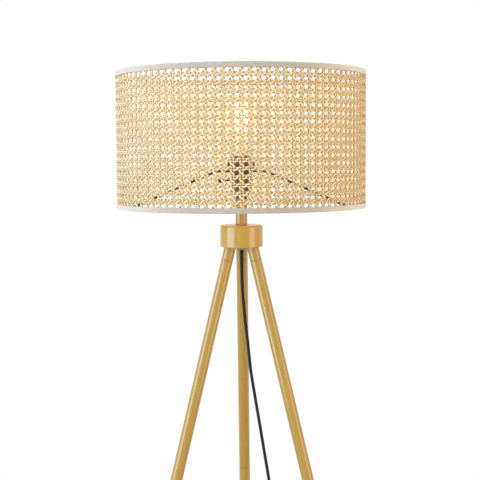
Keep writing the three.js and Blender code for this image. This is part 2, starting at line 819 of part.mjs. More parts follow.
const leadRoute = [
  coilEnd.toArray(), coilDeparture.toArray(), [158, 99.6, 8.4], [143, 100.6, 5.6], [127, 101, 3.5],
  [111, 100.6, 3.6], [96, 99.6, 6], [85, 99, 7.8], plugTip.clone().setX(plugX + gap).toArray(),
];

function cordAlong(route, steps) {
  const points = route.map((point) => new THREE.Vector3(...point));
  const path = new THREE.CatmullRomCurve3(points, false, 'centripetal');
  console.log(`cord stretch: ${path.getLength().toFixed(0)} mm`);
  return bar(path, cordDiameter, cordSides, steps);
}

place('cord_drop', cordAlong(dropRoute, cordDropSteps), blackVinyl);
place('cord_lead', cordAlong(leadRoute, cordLeadSteps), blackVinyl);

// Plug: laid on its flat side, its blades towards -X
function plugBody() {
  const front = plugWidth / 2 - plugEdge;
  const back = front * plugTailShare;
  const outline = new THREE.Shape();
  outline.moveTo(plugEdge, -back);
  outline.lineTo(plugLength - plugEdge, -front);
  outline.lineTo(plugLength - plugEdge, front);
  outline.lineTo(plugEdge, back);
  const body = new THREE.ExtrudeGeometry(outline, {
    depth: plugHeight - 2 * plugEdge, bevelThickness: plugEdge, bevelSize: plugEdge, bevelSegments: 1,
  }).translate(reliefLength, 0, plugEdge - plugHeight / 2);
  const root = reliefRootDiameter / 2;
  const tip = reliefTipDiameter / 2;
  const length = reliefLength + overrun;
  const relief = new THREE.CylinderGeometry(root, tip, length, tubeSides);
  return join(body, relief.rotateZ(-Math.PI / 2).translate(length / 2, 0, 0));
}

function plugBlade(side) {
  const half = bladeWidth / 2;
  const outline = new THREE.Shape();
  outline.moveTo(0, -half);
  outline.lineTo(bladeLength - bladeChamfer, -half);
  outline.lineTo(bladeLength, bladeChamfer - half);
  outline.lineTo(bladeLength, half - bladeChamfer);
  outline.lineTo(bladeLength - bladeChamfer, half);
  outline.lineTo(0, half);
  const blade = new THREE.ExtrudeGeometry(outline, { depth: bladeThickness, bevelEnabled: false });
  blade.translate(0, 0, -bladeThickness / 2).rotateX(Math.PI / 2);
  return blade.translate(reliefLength + plugLength + gap, (side * bladeSpacing) / 2, 0);
}

function laidPlug(geometry) {
  return geometry.rotateZ(Math.PI).translate(plugTip.x, plugTip.y, plugTip.z);
}

place('plug_body', laidPlug(plugBody()), blackVinyl);
place('plug_blade_left', laidPlug(plugBlade(1)), brass);
place('plug_blade_right', laidPlug(plugBlade(-1)), brass);

export default lamp;
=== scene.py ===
import math

import bmesh
import bpy
import numpy as np
from mathutils import Matrix, Vector


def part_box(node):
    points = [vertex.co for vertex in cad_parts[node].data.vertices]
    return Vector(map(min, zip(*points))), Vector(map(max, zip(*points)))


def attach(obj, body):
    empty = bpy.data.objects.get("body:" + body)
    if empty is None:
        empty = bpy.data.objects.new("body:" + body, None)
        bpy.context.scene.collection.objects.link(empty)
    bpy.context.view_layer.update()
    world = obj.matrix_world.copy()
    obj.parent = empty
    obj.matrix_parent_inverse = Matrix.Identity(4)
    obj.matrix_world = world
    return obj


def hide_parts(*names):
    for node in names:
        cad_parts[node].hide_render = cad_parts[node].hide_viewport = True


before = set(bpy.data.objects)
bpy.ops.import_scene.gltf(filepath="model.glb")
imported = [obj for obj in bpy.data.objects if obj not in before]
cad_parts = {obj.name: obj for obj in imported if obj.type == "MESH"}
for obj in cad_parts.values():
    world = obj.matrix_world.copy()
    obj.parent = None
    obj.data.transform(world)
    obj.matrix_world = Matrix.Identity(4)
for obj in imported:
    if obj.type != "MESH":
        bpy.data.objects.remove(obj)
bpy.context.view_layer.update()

# Studio: white all round, with large soft lamps: a cool one on the left, a warmer one on the right and one above.
# The cane and its tapes have lamps of their own, from the front, the right and behind. The camera stands where the
# photograph's did: level with the shade, turned a little about the stem and looking slightly down.
scene = bpy.context.scene
scene.view_settings.view_transform = "Standard"


def set_inputs(node, inputs):
    """Sets each of the node's inputs to a value, or links it from another node's output."""
    for name, value in inputs.items():
        if isinstance(value, bpy.types.NodeSocket):
            node.id_data.links.new(value, node.inputs[name])
        else:
            node.inputs[name].default_value = value


def add_node(tree, kind, inputs=None, **settings):
    """A new node with its settings and inputs."""
    made = tree.nodes.new(kind)
    for name, value in settings.items():
        setattr(made, name, value)
    set_inputs(made, inputs or {})
    return made


def linear(code):
    """The linear colour of an sRGB hex code."""
    channels = [int(code[i:i + 2], 16) / 255 for i in (1, 3, 5)]
    return [c / 12.92 if c <= 0.04045 else ((c + 0.055) / 1.055) ** 2.4 for c in channels] + [1.0]


def seen_directly(tree):
    """One for rays that show the background: those of the camera, of reflections and of clear glass."""
    rays = add_node(tree, "ShaderNodeLightPath").outputs
    glossy = add_node(tree, "ShaderNodeMath", {
        0: rays["Is Camera Ray"], 1: rays["Is Glossy Ray"]}, operation="MAXIMUM")
    return add_node(tree, "ShaderNodeMath", {
        0: glossy.outputs[0], 1: rays["Is Transmission Ray"]}, operation="MAXIMUM").outputs[0]


ambient_strength = 0.36
white = linear("#ffffff")
scene.world = bpy.data.worlds.new("white studio")
scene.world.use_nodes = True
tree = scene.world.node_tree
ambient = tree.nodes["Background"]
set_inputs(ambient, {"Color": white, "Strength": ambient_strength})
backdrop = add_node(tree, "ShaderNodeBackground", {"Color": white, "Strength": 1.0})
sky = add_node(tree, "ShaderNodeMixShader", {0: seen_directly(tree), 1: ambient.outputs[0], 2: backdrop.outputs[0]})
set_inputs(tree.nodes["World Output"], {"Surface": sky.outputs[0]})

hub_low, hub_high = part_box("hub_shell")
stem_axis = Vector((0, (hub_low.y + hub_high.y) / 2, 0))
shade_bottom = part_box("bottom_rim_tape")[0].z
shade_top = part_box("top_rim_tape")[1].z

camera_distance = 1.75476
camera_above_shade_bottom = 0.08244
camera_turn = math.radians(1.3)
camera_pitch = math.radians(4.437)
camera_roll = math.radians(-0.35)
camera_lens = 80.18
sideways_pixels = 1.55
image_pixels = 480
camera = bpy.data.objects.new("camera", bpy.data.cameras.new("camera"))
camera.data.sensor_width = 36.0
camera.data.lens = camera_lens
camera.data.shift_x = -sideways_pixels / image_pixels
camera.location = stem_axis + Vector((
    camera_distance * math.sin(camera_turn), -camera_distance * math.cos(camera_turn),
    shade_bottom + camera_above_shade_bottom))
camera.rotation_mode = "QUATERNION"
camera.rotation_quaternion = (
    Matrix.Rotation(camera_turn, 3, "Z") @ Matrix.Rotation(math.pi / 2 - camera_pitch, 3, "X")
    @ Matrix.Rotation(camera_roll, 3, "Z")).to_quaternion()
scene.collection.objects.link(camera)
scene.camera = camera

lamp_distance = 2.6
all_but_cane, cane_alone, tapes_alone = [
    bpy.data.collections.new(name) for name in ("all but the cane", "cane alone", "rim tapes alone")]
for name, turn, rise, width, height, watts, colour, lit in [
        ("left soft lamp", -60, 5, 2.0, 2.2, 57, "#d8e6ff", None),
        ("right soft lamp", 60, 5, 1.6, 2.2, 28, "#ffe4c4", all_but_cane),
        ("upper soft lamp", 0, 55, 2.0, 2.0, 28, "#fff2e0", None),
        ("right lamp of the cane", 60, 5, 1.6, 2.2, 26, "#ffc680", cane_alone),
        ("front lamp of the cane", -10, 5, 2.0, 2.2, 22, "#f4f8f4", cane_alone),
        ("left rim lamp of the cane", -112, 5, 0.8, 2.2, 12, "#ffe2cc", cane_alone),
        ("right rim lamp of the cane", 112, 5, 0.8, 2.2, 17, "#ffd0a0", cane_alone),
        ("left rim lamp of the tapes", -112, 5, 0.8, 2.2, 48, "#fff8f0", tapes_alone),
        ("right rim lamp of the tapes", 112, 5, 0.8, 2.2, 48, "#fff4e4", tapes_alone)]:
    turn, rise = math.radians(turn), math.radians(rise)
    soft_lamp = bpy.data.objects.new(name, bpy.data.lights.new(name, "AREA"))
    soft_lamp.data.shape = "RECTANGLE"
    soft_lamp.data.size = width
    soft_lamp.data.size_y = height
    soft_lamp.data.energy = watts
    soft_lamp.data.color = linear(colour)[:3]
    away = Vector((math.sin(turn) * math.cos(rise), -math.cos(turn) * math.cos(rise), math.sin(rise)))
    soft_lamp.location = stem_axis + lamp_distance * away + Vector((0, 0, hub_high.z))
    soft_lamp.rotation_mode = "QUATERNION"
    soft_lamp.rotation_quaternion = away.to_track_quat("Z", "Y")
    soft_lamp.light_linking.receiver_collection = lit
    scene.collection.objects.link(soft_lamp)


# Floor: a matt pale sheet that keeps the lamp's shadow and turns to the backdrop's white further out.
def new_material(name, colour, roughness, metallic=0.0):
    """A material with its shader node, to which a section adds what its own surface shows."""
    material = bpy.data.materials.new(name)
    material.use_nodes = True
    shader = material.node_tree.nodes["Principled BSDF"]
    set_inputs(shader, {"Base Color": linear(colour), "Roughness": roughness, "Metallic": metallic})
    return material, material.node_tree, shader


floor_radius = 2.3
floor_plain_radius = 0.9
floor_sides = 96
floor_mesh = bpy.data.meshes.new("floor")
floor_angles = [2 * math.pi * i / floor_sides for i in range(floor_sides)]
floor_mesh.from_pydata(
    [(floor_radius * math.cos(angle), floor_radius * math.sin(angle), 0) for angle in floor_angles], [],
    [range(floor_sides)])
floor = bpy.data.objects.new("floor", floor_mesh)
scene.collection.objects.link(floor)
floor_paper, tree, matt = new_material("matt white paper", "#eeece8", 0.9)
white_light = add_node(tree, "ShaderNodeEmission", {"Color": white, "Strength": 1.0})
floor_place = add_node(tree, "ShaderNodeTexCoord").outputs["Object"]
floor_reach = add_node(tree, "ShaderNodeVectorMath", {0: floor_place}, operation="LENGTH")
floor_fade = add_node(tree, "ShaderNodeMapRange", {
    "Value": floor_reach.outputs["Value"], "From Min": floor_plain_radius, "From Max": floor_radius},
    interpolation_type="SMOOTHSTEP")
floor_share = add_node(tree, "ShaderNodeMath", {
    0: floor_fade.outputs["Result"], 1: seen_directly(tree)}, operation="MULTIPLY")
floor_mix = add_node(tree, "ShaderNodeMixShader", {
    0: floor_share.outputs[0], 1: matt.outputs[0], 2: white_light.outputs[0]})
set_inputs(tree.nodes["Material Output"], {"Surface": floor_mix.outputs[0]})
floor_mesh.materials.append(floor_paper)

# Legs: three steel tubes each, screwed end to end on studs and onto a stub welded under the hub's base plate. The
# satin ochre powder coat rounds the tubes' cut ends, so that each joint shows as a hairline.
leg_tilt = math.radians(15.2)
leg_azimuths = {"rear": 90, "left": 210, "right": 330}
seam_slack = {"rear": 0.0, "left": 0.0, "right": 0.0006}
leg_root_radius = 0.0213
leg_radius = 0.0095
leg_edge = 0.0006
leg_gap = 0.0003
stub_length = 0.023
section_pitch = 0.4
leg_sections = ["upper", "middle", "lower"]
bore_radius = 0.0043
bore_depth = 0.0145
leg_sides = 64
at_stem = Matrix.Translation(stem_axis)


def bend(start, corner, end, share):
    """The point that lies share of the way along the curve that rounds a corner."""
    return start * (1 - share) ** 2 + corner * 2 * share * (1 - share) + end * share ** 2


def rounded(corners, steps=4):
    """An outline of (radius, height, rounding) corners with each corner's rounding worked into points."""
    points = []
    for i, (radius, height, rounding) in enumerate(corners):
        here = Vector((radius, height))
        if rounding == 0:
            points.append(tuple(here))
            continue
        before = Vector(corners[i - 1][:2]) - here
        after = Vector(corners[(i + 1) % len(corners)][:2]) - here
        reach = min(rounding / math.tan(before.angle(after) / 2), 0.49 * before.length, 0.49 * after.length)
        start = here + before.normalized() * reach
        end = here + after.normalized() * reach
        points += [tuple(bend(start, here, end, step / steps)) for step in range(steps + 1)]
    return points


def skin(rings, uv=None, closed=False):
    """A shape with faces between each ring of points and the next, closed in a loop or capped at both ends. A ring
    of one point is a pole. The uv function gives the place on the map of a ring and its point, by their numbers."""
    shape = bmesh.new()
    uv_layer = shape.loops.layers.uv.new("UVMap") if uv else None
    sides = max(len(ring) for ring in rings)
    verts = []
    for ring in rings:
        made = [shape.verts.new(point) for point in ring]
        verts.append(made * (sides // len(made)))
    for i in range(len(rings) if closed else len(rings) - 1):
        near, far = verts[i], verts[(i + 1) % len(rings)]
        if near[0] is near[-1] and far[0] is far[-1]:
            continue
        for j in range(sides):
            k = (j + 1) % sides
            spots = (i, j), (i, j + 1), (i + 1, j + 1), (i + 1, j)
            corners = {}
            for vert, spot in zip((near[j], near[k], far[k], far[j]), spots):
                corners.setdefault(vert, spot)
            face = shape.faces.new(list(corners))
            if uv:
                for loop, spot in zip(face.loops, corners.values()):
                    loop[uv_layer].uv = uv(*spot)
    for end in () if closed else (verts[0], verts[-1]):
        shape.faces.new(end)
    bmesh.ops.recalc_face_normals(shape, faces=shape.faces)
    return shape


def mesh_of(shape):
    """The finished mesh of a shape."""
    mesh = bpy.data.meshes.new("mesh")
    shape.to_mesh(mesh)
    shape.free()
    return mesh


def turned(outline, sides, swell=None):
    """A closed mesh turned about Z from (radius, height) points, with a UV map in metres round and along it."""
    rings = []
    for radius, height in outline:
        ring = []
        for side in range(sides if radius > 1e-7 else 0):
            angle = 2 * math.pi * side / sides
            out = radius + (swell(angle, radius, height) if swell else 0)
            ring.append((out * math.cos(angle), out * math.sin(angle), height))
        rings.append(ring or [(0, 0, height)])
    widest = max(radius for radius, height in outline)
    along = [0.0]
    for here, after in zip(outline, outline[1:] + outline[:1]):
        along.append(along[-1] + math.dist(here, after))
    return mesh_of(skin(rings, lambda i, j: (widest * 2 * math.pi * j / sides, along[i]), closed=True))


def cut_with(mesh, tool, operation="DIFFERENCE"):
    """The mesh left after a boolean with another mesh."""
    body = bpy.data.objects.new("body", mesh)
    cutter = bpy.data.objects.new("cutter", tool)
    for thing in (body, cutter):
        scene.collection.objects.link(thing)
    boolean = body.modifiers.new("cut", "BOOLEAN")
    boolean.operation = operation
    boolean.object = cutter
    boolean.solver = "EXACT"
    made = bpy.data.meshes.new_from_object(body.evaluated_get(bpy.context.evaluated_depsgraph_get()))
    for thing in (body, cutter):
        bpy.data.objects.remove(thing)
    return made


def block(low, high):
    """A box mesh between two corners."""
    shape = bmesh.new()
    bmesh.ops.create_cube(shape, size=1)
    for vert in shape.verts:
        vert.co = [low[i] + (vert.co[i] + 0.5) * (high[i] - low[i]) for i in range(3)]
    return mesh_of(shape)


def add_piece(name, mesh, material, body, slot, *nodes, place=at_stem, sharp_degrees=35):
    """The finished piece: smooth but for its sharp edges, moved from the origin to its place, and riding on its body
    instead of its CAD nodes."""
    mesh.transform(place)
    mesh.name = name
    mesh.materials.clear()
    mesh.materials.append(material)
    mesh.shade_smooth()
    mesh.set_sharp_from_angle(angle=math.radians(sharp_degrees))
    made = bpy.data.objects.new(name, mesh)
    scene.collection.objects.link(made)
    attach(made, body)
    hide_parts(*nodes)
    return made


def add_turned(name, corners, sides, *finish, steps=4, swell=None, **more):
    """A piece turned from the corners of its section, and finished as add_piece does it."""
    return add_piece(name, turned(rounded(corners, steps), sides, swell), *finish, **more)


def powder_coat(name, deep, pale):
    """Polyester powder coat: opaque ochre, satin, its colour a shade deeper here and there. Its orange peel is about
    0.7 mm from crest to crest, and shows only as a slight softness of the highlights."""
    coat, tree, shader = new_material(name, pale, 0.2)
    coat_place = add_node(tree, "ShaderNodeTexCoord").outputs["Object"]
    coat_cloud = add_node(tree, "ShaderNodeTexNoise", {"Vector": coat_place, "Scale": 1 / 0.06, "Detail": 3.0})
    coat_tone = add_node(tree, "ShaderNodeMix", {
        "Factor": coat_cloud.outputs[0], 6: linear(deep), 7: linear(pale)}, data_type="RGBA")
    coat_peel = add_node(tree, "ShaderNodeTexNoise", {"Vector": coat_place, "Scale": 1 / 0.0007, "Detail": 1.0})
    coat_bump = add_node(tree, "ShaderNodeBump", {
        "Height": coat_peel.outputs[0], "Strength": 0.12, "Distance": 0.0002})
    set_inputs(shader, {
        "Specular IOR Level": 0.85, "Base Color": coat_tone.outputs[2], "Normal": coat_bump.outputs[0]})
    return coat


# Painted shade: the tubes' coat is a shade deeper than the hub's, for the dimmer light on the thin tubes
# # and on the stem under the shade.
shaded_tube_coat = powder_coat("ochre powder coat on steel tube", "#b48d25", "#bb962d")
above_plate = block((-1, -1, hub_low.z - leg_gap), (1, 1, hub_low.z - leg_gap + 0.1))
leg_frames = {}
for side, azimuth in leg_azimuths.items():
    turn = Matrix.Rotation(math.radians(azimuth), 4, "Z")
    root = stem_axis + turn @ Vector((leg_root_radius, 0, hub_low.z))
    leg_frames[side] = Matrix.Translation(root) @ turn @ Matrix.Rotation(math.pi - leg_tilt, 4, "Y")
for side, leg_frame in leg_frames.items():
    for index, section in enumerate(leg_sections):
        start = stub_length + index * section_pitch + leg_gap
        end = stub_length + (index + 1) * section_pitch - seam_slack[side]
        add_turned(f"leg_{section}_{side}_tube", [
            (leg_radius, start, leg_edge), (leg_radius, end, leg_edge), (bore_radius, end, 0),
            (bore_radius, end - bore_depth, 0), (0, end - bore_depth, 0), (0, start + bore_depth, 0),
            (bore_radius, start + bore_depth, 0), (bore_radius, start, 0)],
            leg_sides, shaded_tube_coat, "stand", "ochre_paint", f"leg_{section}_{side}", place=leg_frame)
    stub = turned(rounded([
        (leg_radius, -leg_radius, 0), (leg_radius, stub_length, leg_edge), (bore_radius, stub_length, 0),
        (bore_radius, stub_length - bore_depth, 0), (0, stub_length - bore_depth, 0), (0, -leg_radius, 0)]),
        leg_sides)
    stub.transform(leg_frame)
    add_piece(f"leg_stub_{side}_tube", cut_with(stub, above_plate), shaded_tube_coat, "stand", "ochre_paint",
              f"leg_stub_{side}", place=Matrix())


# Joint studs: plain steel screws inside the legs, zinc plated, with the faint grey cloudiness of bright zinc. The
# hollow rod through the stem has the same plating.
def coat_nodes(material, *nodes):
    """Gives CAD solids, whose shape stays, their material."""
    for node in nodes:
        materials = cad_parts[node].data.materials
        materials.clear()
        materials.append(material)


zinc_plate, tree, shader = new_material("bright zinc plate on steel", "#a9aaa8", 0.38, metallic=1.0)
zinc_place = add_node(tree, "ShaderNodeTexCoord").outputs["Object"]
zinc_cloud = add_node(tree, "ShaderNodeTexNoise", {"Vector": zinc_place, "Scale": 1 / 0.004, "Detail": 4.0})
zinc_tone = add_node(tree, "ShaderNodeMix", {
    "Factor": zinc_cloud.outputs[0], 6: linear("#9fa09d"), 7: linear("#b4b5b2")}, data_type="RGBA")
set_inputs(shader, {"Base Color": zinc_tone.outputs[2]})
coat_nodes(zinc_plate, "threaded_rod", *[
    f"leg_stud_{section}_{side}" for side in leg_azimuths for section in leg_sections])

# Feet: moulded rubber caps pushed over the ends of the legs, with a bead round the mouth and a level sole.
# Rubber is dull black, very slightly mottled.
foot_wall = 0.0014
foot_cover = 0.02
foot_pad = 0.01
foot_bead = 0.0009
foot_bead_low, foot_bead_high, foot_bead_end = 0.001, 0.003, 0.004
moulded_rubber, tree, shader = new_material("moulded black rubber", "#262624", 0.75)
rubber_place = add_node(tree, "ShaderNodeTexCoord").outputs["Object"]
rubber_grain = add_node(tree, "ShaderNodeTexNoise", {"Vector": rubber_place, "Scale": 1 / 0.0006, "Detail": 2.0})
rubber_tone = add_node(tree, "ShaderNodeMix", {
    "Factor": rubber_grain.outputs[0], 6: linear("#20201f"), 7: linear("#2f2f2c")}, data_type="RGBA")
rubber_bump = add_node(tree, "ShaderNodeBump", {
    "Height": rubber_grain.outputs[0], "Strength": 0.3, "Distance": 0.0001})
set_inputs(shader, {"Base Color": rubber_tone.outputs[2], "Normal": rubber_bump.outputs[0]})
leg_end = stub_length + len(leg_sections) * section_pitch
foot_inner = leg_radius + leg_gap
foot_outer = foot_inner + foot_wall
foot_seat = leg_end + leg_gap
foot_mouth = foot_seat - foot_cover
foot_tip = leg_end + foot_pad + foot_outer
below_floor = block((-1, -1, -0.1), (1, 1, 0))
for side, leg_frame in leg_frames.items():
    cap = turned(rounded([
        (0, foot_seat, 0), (foot_inner, foot_seat, 0), (foot_inner, foot_mouth, 0),
        (foot_outer, foot_mouth, 0.0005), (foot_outer + foot_bead, foot_mouth + foot_bead_low, 0.0006),
        (foot_outer + foot_bead, foot_mouth + foot_bead_high, 0.0006),
        (foot_outer, foot_mouth + foot_bead_end, 0.0005), (foot_outer, foot_tip, 0), (0, foot_tip, 0)]), leg_sides)
    cap.transform(leg_frame)
    add_piece(f"foot_{side}_cap", cut_with(cap, below_floor), moulded_rubber, "stand", "black_rubber",
              f"foot_{side}", place=Matrix())

# Hub: a pressed steel cup, closed below by the base plate that the stubs are welded to. Both are powder coated in
# # the legs' ochre, without the painted shade that darkens the tubes' coat. The cup's upper edge is softly rounded,
# # and its lower edge nearly sharp.
hub_radius = (hub_high.x - hub_low.x) / 2
hub_wall = 0.0025
hub_top_round = 0.0036
hub_bottom_round = 0.0009
hub_sides = 128
rod_hole = 0.0052
plate_radius = 0.0335
plate_top = hub_low.z + 0.003
hub_coat = powder_coat("ochre powder coat on pressed steel", "#c39928", "#cba331")
add_turned("hub_cup", [
    (hub_radius, hub_low.z, hub_bottom_round), (hub_radius, hub_high.z, hub_top_round),
    (rod_hole, hub_high.z, 0), (rod_hole, hub_high.z - hub_wall, 0),
    (hub_radius - hub_wall, hub_high.z - hub_wall, 0.002), (hub_radius - hub_wall, plate_top + leg_gap, 0),
    (plate_radius + leg_gap, plate_top + leg_gap, 0), (plate_radius + leg_gap, hub_low.z, 0)],
    hub_sides, hub_coat, "stand", "ochre_paint", "hub_shell", steps=6)
add_turned("hub_plate", [
    (plate_radius, hub_low.z, 0.0005), (plate_radius, plate_top, 0.0005), (rod_hole, plate_top, 0),
    (rod_hole, hub_low.z, 0.0003)], hub_sides, hub_coat, "stand", "ochre_paint", "hub_base_plate")


# Stem and its nut: a short coated tube with a slightly flared foot stands on the hub, and a hollow threaded rod
# clamps lampholder, stem, hub and plate with a coated hexagon nut and a thin black coated washer below.
def heights(node):
    """The heights of a node's underside and top."""
    low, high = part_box(node)
    return low.z, high.z


stem_low, stem_high = heights("stem_tube")
stem_radius = 0.0095
stem_wall = 0.0012
stem_flare = 0.0005
stem_flare_height = 0.0016
stem_sides = 96
add_turned("stem_coated_tube", [
    (stem_radius + stem_flare, stem_low, 0.0004), (stem_radius + stem_flare * 0.8, stem_low + 0.0006, 0.0004),
    (stem_radius, stem_low + stem_flare_height, 0.001), (stem_radius, stem_high, 0.0004),
    (stem_radius - stem_wall, stem_high, 0), (stem_radius - stem_wall, stem_low, 0)],
    stem_sides, shaded_tube_coat, "stand", "ochre_paint", "stem_tube")

nut_low, nut_high = heights("rod_nut")
nut_corner_radius = 0.0075
nut_crown = 0.0011
crown_sides = 72
crown_radius = nut_corner_radius + 0.0002
crown_low, crown_high = nut_low - 0.0001, nut_high + 0.0001
prism = turned([(nut_corner_radius, nut_low), (nut_corner_radius, nut_high), (rod_hole, nut_high),
                (rod_hole, nut_low)], 6)
crown = turned(rounded([
    (0, crown_low, 0), (nut_corner_radius - nut_crown, crown_low, 0),
    (crown_radius, nut_low + nut_crown * 0.7, 0), (crown_radius, nut_high - nut_crown * 0.7, 0),
    (nut_corner_radius - nut_crown, crown_high, 0), (0, crown_high, 0)]), crown_sides)
add_piece("rod_hexagon_nut", cut_with(prism, crown, "INTERSECT"), shaded_tube_coat, "stand", "ochre_paint", "rod_nut",
          sharp_degrees=25)

# Washer: a thin stamped steel ring that the nut presses against the hub's plate. Its satin black lacquer, with a
# faint peel, is the shade fitter's too.
black_coat, tree, shader = new_material("thin black coat on steel", "#1e1c1a", 0.45)
black_place = add_node(tree, "ShaderNodeTexCoord").outputs["Object"]
black_peel = add_node(tree, "ShaderNodeTexNoise", {"Vector": black_place, "Scale": 1 / 0.0008, "Detail": 2.0})
black_tone = add_node(tree, "ShaderNodeMix", {
    "Factor": black_peel.outputs[0], 6: linear("#191715"), 7: linear("#262320")}, data_type="RGBA")
black_bump = add_node(tree, "ShaderNodeBump", {
    "Height": black_peel.outputs[0], "Strength": 0.2, "Distance": 0.0001})
set_inputs(shader, {"Base Color": black_tone.outputs[2], "Normal": black_bump.outputs[0]})
washer_low, washer_high = heights("rod_washer")
washer_radius = 0.0085
washer_sides = 64
add_turned("rod_round_washer", [
    (washer_radius, washer_low, 0.0003), (washer_radius, washer_high, 0.0003), (rod_hole, washer_high, 0),
    (rod_hole, washer_low, 0)], washer_sides, black_coat, "stand", "black_wire", "rod_washer")


# Lampholder: moulded phenolic resin, nearly black with a brown cast and a hard gloss. Its cap is screwed on the
# rod, its body carries the fitter's shoulder and an outside thread, and a bushing of the same resin lines the
# rod's lower end where the cord comes out.
phenolic, tree, shader = new_material("moulded phenolic resin", "#45311f", 0.22)
resin_place = add_node(tree, "ShaderNodeTexCoord").outputs["Object"]
resin_flow = add_node(tree, "ShaderNodeTexNoise", {
    "Vector": resin_place, "Scale": 1 / 0.006, "Detail": 3.0, "Distortion": 0.8})
resin_tone = add_node(tree, "ShaderNodeMix", {
    "Factor": resin_flow.outputs[0], 6: linear("#3a291c"), 7: linear("#523a28")}, data_type="RGBA")
resin_sheen = add_node(tree, "ShaderNodeMapRange", {"Value": resin_flow.outputs[0], "To Min": 0.18, "To Max": 0.3})
set_inputs(shader, {"IOR": 1.6, "Base Color": resin_tone.outputs[2], "Roughness": resin_sheen.outputs[0]})

socket_sides = 96
cap_low, cap_high = heights("socket_cap")
cap_neck_radius = 0.0093
socket_radius = 0.0165
chamber_radius = 0.012
neck_top = cap_low + 0.005
taper_top = cap_low + 0.012
add_turned("lampholder_cap", [
    (cap_neck_radius, cap_low, 0.0004), (cap_neck_radius, neck_top, 0.0025), (socket_radius, taper_top, 0.004),
    (socket_radius, cap_high, 0.0004), (chamber_radius, cap_high, 0), (chamber_radius, taper_top, 0),
    (rod_hole, taper_top, 0), (rod_hole, cap_low, 0)],
    socket_sides, phenolic, "stand", "black_phenolic", "socket_cap", steps=6)

body_low, body_high = heights("socket_body")
shoulder_radius = 0.02
shoulder_top = shade_bottom + 0.0615
shoulder_low = shoulder_top - 0.002
thread_radius = 0.0176
thread_low = shoulder_top + 0.0022
thread_high = shade_bottom + 0.077
thread_pitch = 0.0025
thread_depth = 0.0007
thread_root = thread_radius - thread_depth
thread_steps = 44
cavity_radius = 0.0143
cavity_floor = shade_bottom + 0.057
wire_hole_radius = 0.003


def outside_thread(angle, radius, height):
    """The screw thread's height over the lampholder's neck, between its two ends."""
    if abs(radius - thread_root) > 1e-6 or not thread_low <= height <= thread_high:
        return 0
    return thread_depth * (0.5 + 0.5 * math.cos(2 * math.pi * height / thread_pitch - angle))


holder_body = turned(rounded([
    (wire_hole_radius, body_low, 0), (socket_radius, body_low, 0.0004), (socket_radius, shoulder_low - 0.0012, 0),
    (shoulder_radius, shoulder_low, 0.0004), (shoulder_radius, shoulder_top, 0.0004),
    (thread_root, shoulder_top, 0)]) + [
        (thread_root, thread_low + (thread_high - thread_low) * i / thread_steps) for i in range(thread_steps + 1)
    ] + rounded([
        (socket_radius, thread_high + 0.0006, 0), (socket_radius, body_high, 0.0012),
        (cavity_radius, body_high, 0.0004), (cavity_radius, cavity_floor, 0), (wire_hole_radius, cavity_floor, 0)]),
    socket_sides, swell=outside_thread)
shaft_axis_height = shade_bottom + 0.0445
shaft_radius = 0.0015
shaft_bore_radius = shaft_radius + 0.0003
shaft_bore_end = -0.0102
shaft_bore_depth = 0.02
shaft_bore = turned([(0, -shaft_bore_depth), (shaft_bore_radius, -shaft_bore_depth), (shaft_bore_radius, 0.0),
                     (0, 0.0)], 32)
shaft_bore.transform(Matrix.Translation((shaft_bore_end, 0, shaft_axis_height))
                     @ Matrix.Rotation(math.pi / 2, 4, "Y"))
add_piece("lampholder_body", cut_with(holder_body, shaft_bore), phenolic, "stand", "black_phenolic", "socket_body")

bushing_low, bushing_high = heights("cord_bushing")
flange_radius = 0.0046
flange_top = bushing_low + 0.0012
sleeve_outer, sleeve_inner = 0.0036, 0.0029
small_sides = 48
add_turned("cord_outlet_bushing", [
    (flange_radius, bushing_low, 0.0005), (flange_radius, flange_top, 0.0002), (sleeve_outer, flange_top, 0),
    (sleeve_outer, bushing_high, 0), (sleeve_inner, bushing_high, 0), (sleeve_inner, bushing_low, 0.0004)],
    small_sides, phenolic, "stand", "black_phenolic", "cord_bushing")

# Screw shell and contact: a rolled aluminium shell with the bulb's thread lines the lampholder's cavity, over a
# sprung brass contact. Fine rolling marks vary the aluminium's sheen, and the brass is a little tarnished.
bulb_thread_pitch = 0.00363
bulb_thread_half = 0.0003
threaded_from_radius = 0.0118


def rolled_thread(angle, radius, height):
    """A lamp thread's rounded wave, on walls that are marked by their radius."""
    wave = math.cos(2 * math.pi * height / bulb_thread_pitch - angle)
    return bulb_thread_half * wave if radius > threaded_from_radius else 0


rolled_aluminium, tree, shader = new_material("rolled aluminium", "#cfcfcc", 0.32, metallic=1.0)
aluminium_place = add_node(tree, "ShaderNodeTexCoord").outputs["Object"]
rolling_map = add_node(tree, "ShaderNodeMapping", {
    "Vector": aluminium_place, "Scale": (1 / 0.004, 1 / 0.004, 1 / 0.0003)})
rolling_marks = add_node(tree, "ShaderNodeTexNoise", {"Vector": rolling_map.outputs[0], "Scale": 1.0, "Detail": 2.0})
aluminium_sheen = add_node(tree, "ShaderNodeMapRange", {
    "Value": rolling_marks.outputs[0], "To Min": 0.25, "To Max": 0.42})
set_inputs(shader, {"Roughness": aluminium_sheen.outputs[0]})
shell_low, shell_high = heights("socket_screw_shell")
shell_outer = 0.0137
shell_inner = 0.0133
shell_hole_radius = 0.006
shell_floor = shell_low + 0.0005
wall_steps = 36
shell_wall = [shell_low + (shell_high - shell_low) * i / wall_steps for i in range(wall_steps + 1)]
screw_shell = turned(
    [(shell_outer, height) for height in shell_wall] + [(shell_inner, height) for height in shell_wall[:0:-1]]
    + [(shell_hole_radius, shell_floor), (shell_hole_radius, shell_low)], socket_sides, swell=rolled_thread)
add_piece("lampholder_screw_shell", screw_shell, rolled_aluminium, "stand", "aluminium", "socket_screw_shell")

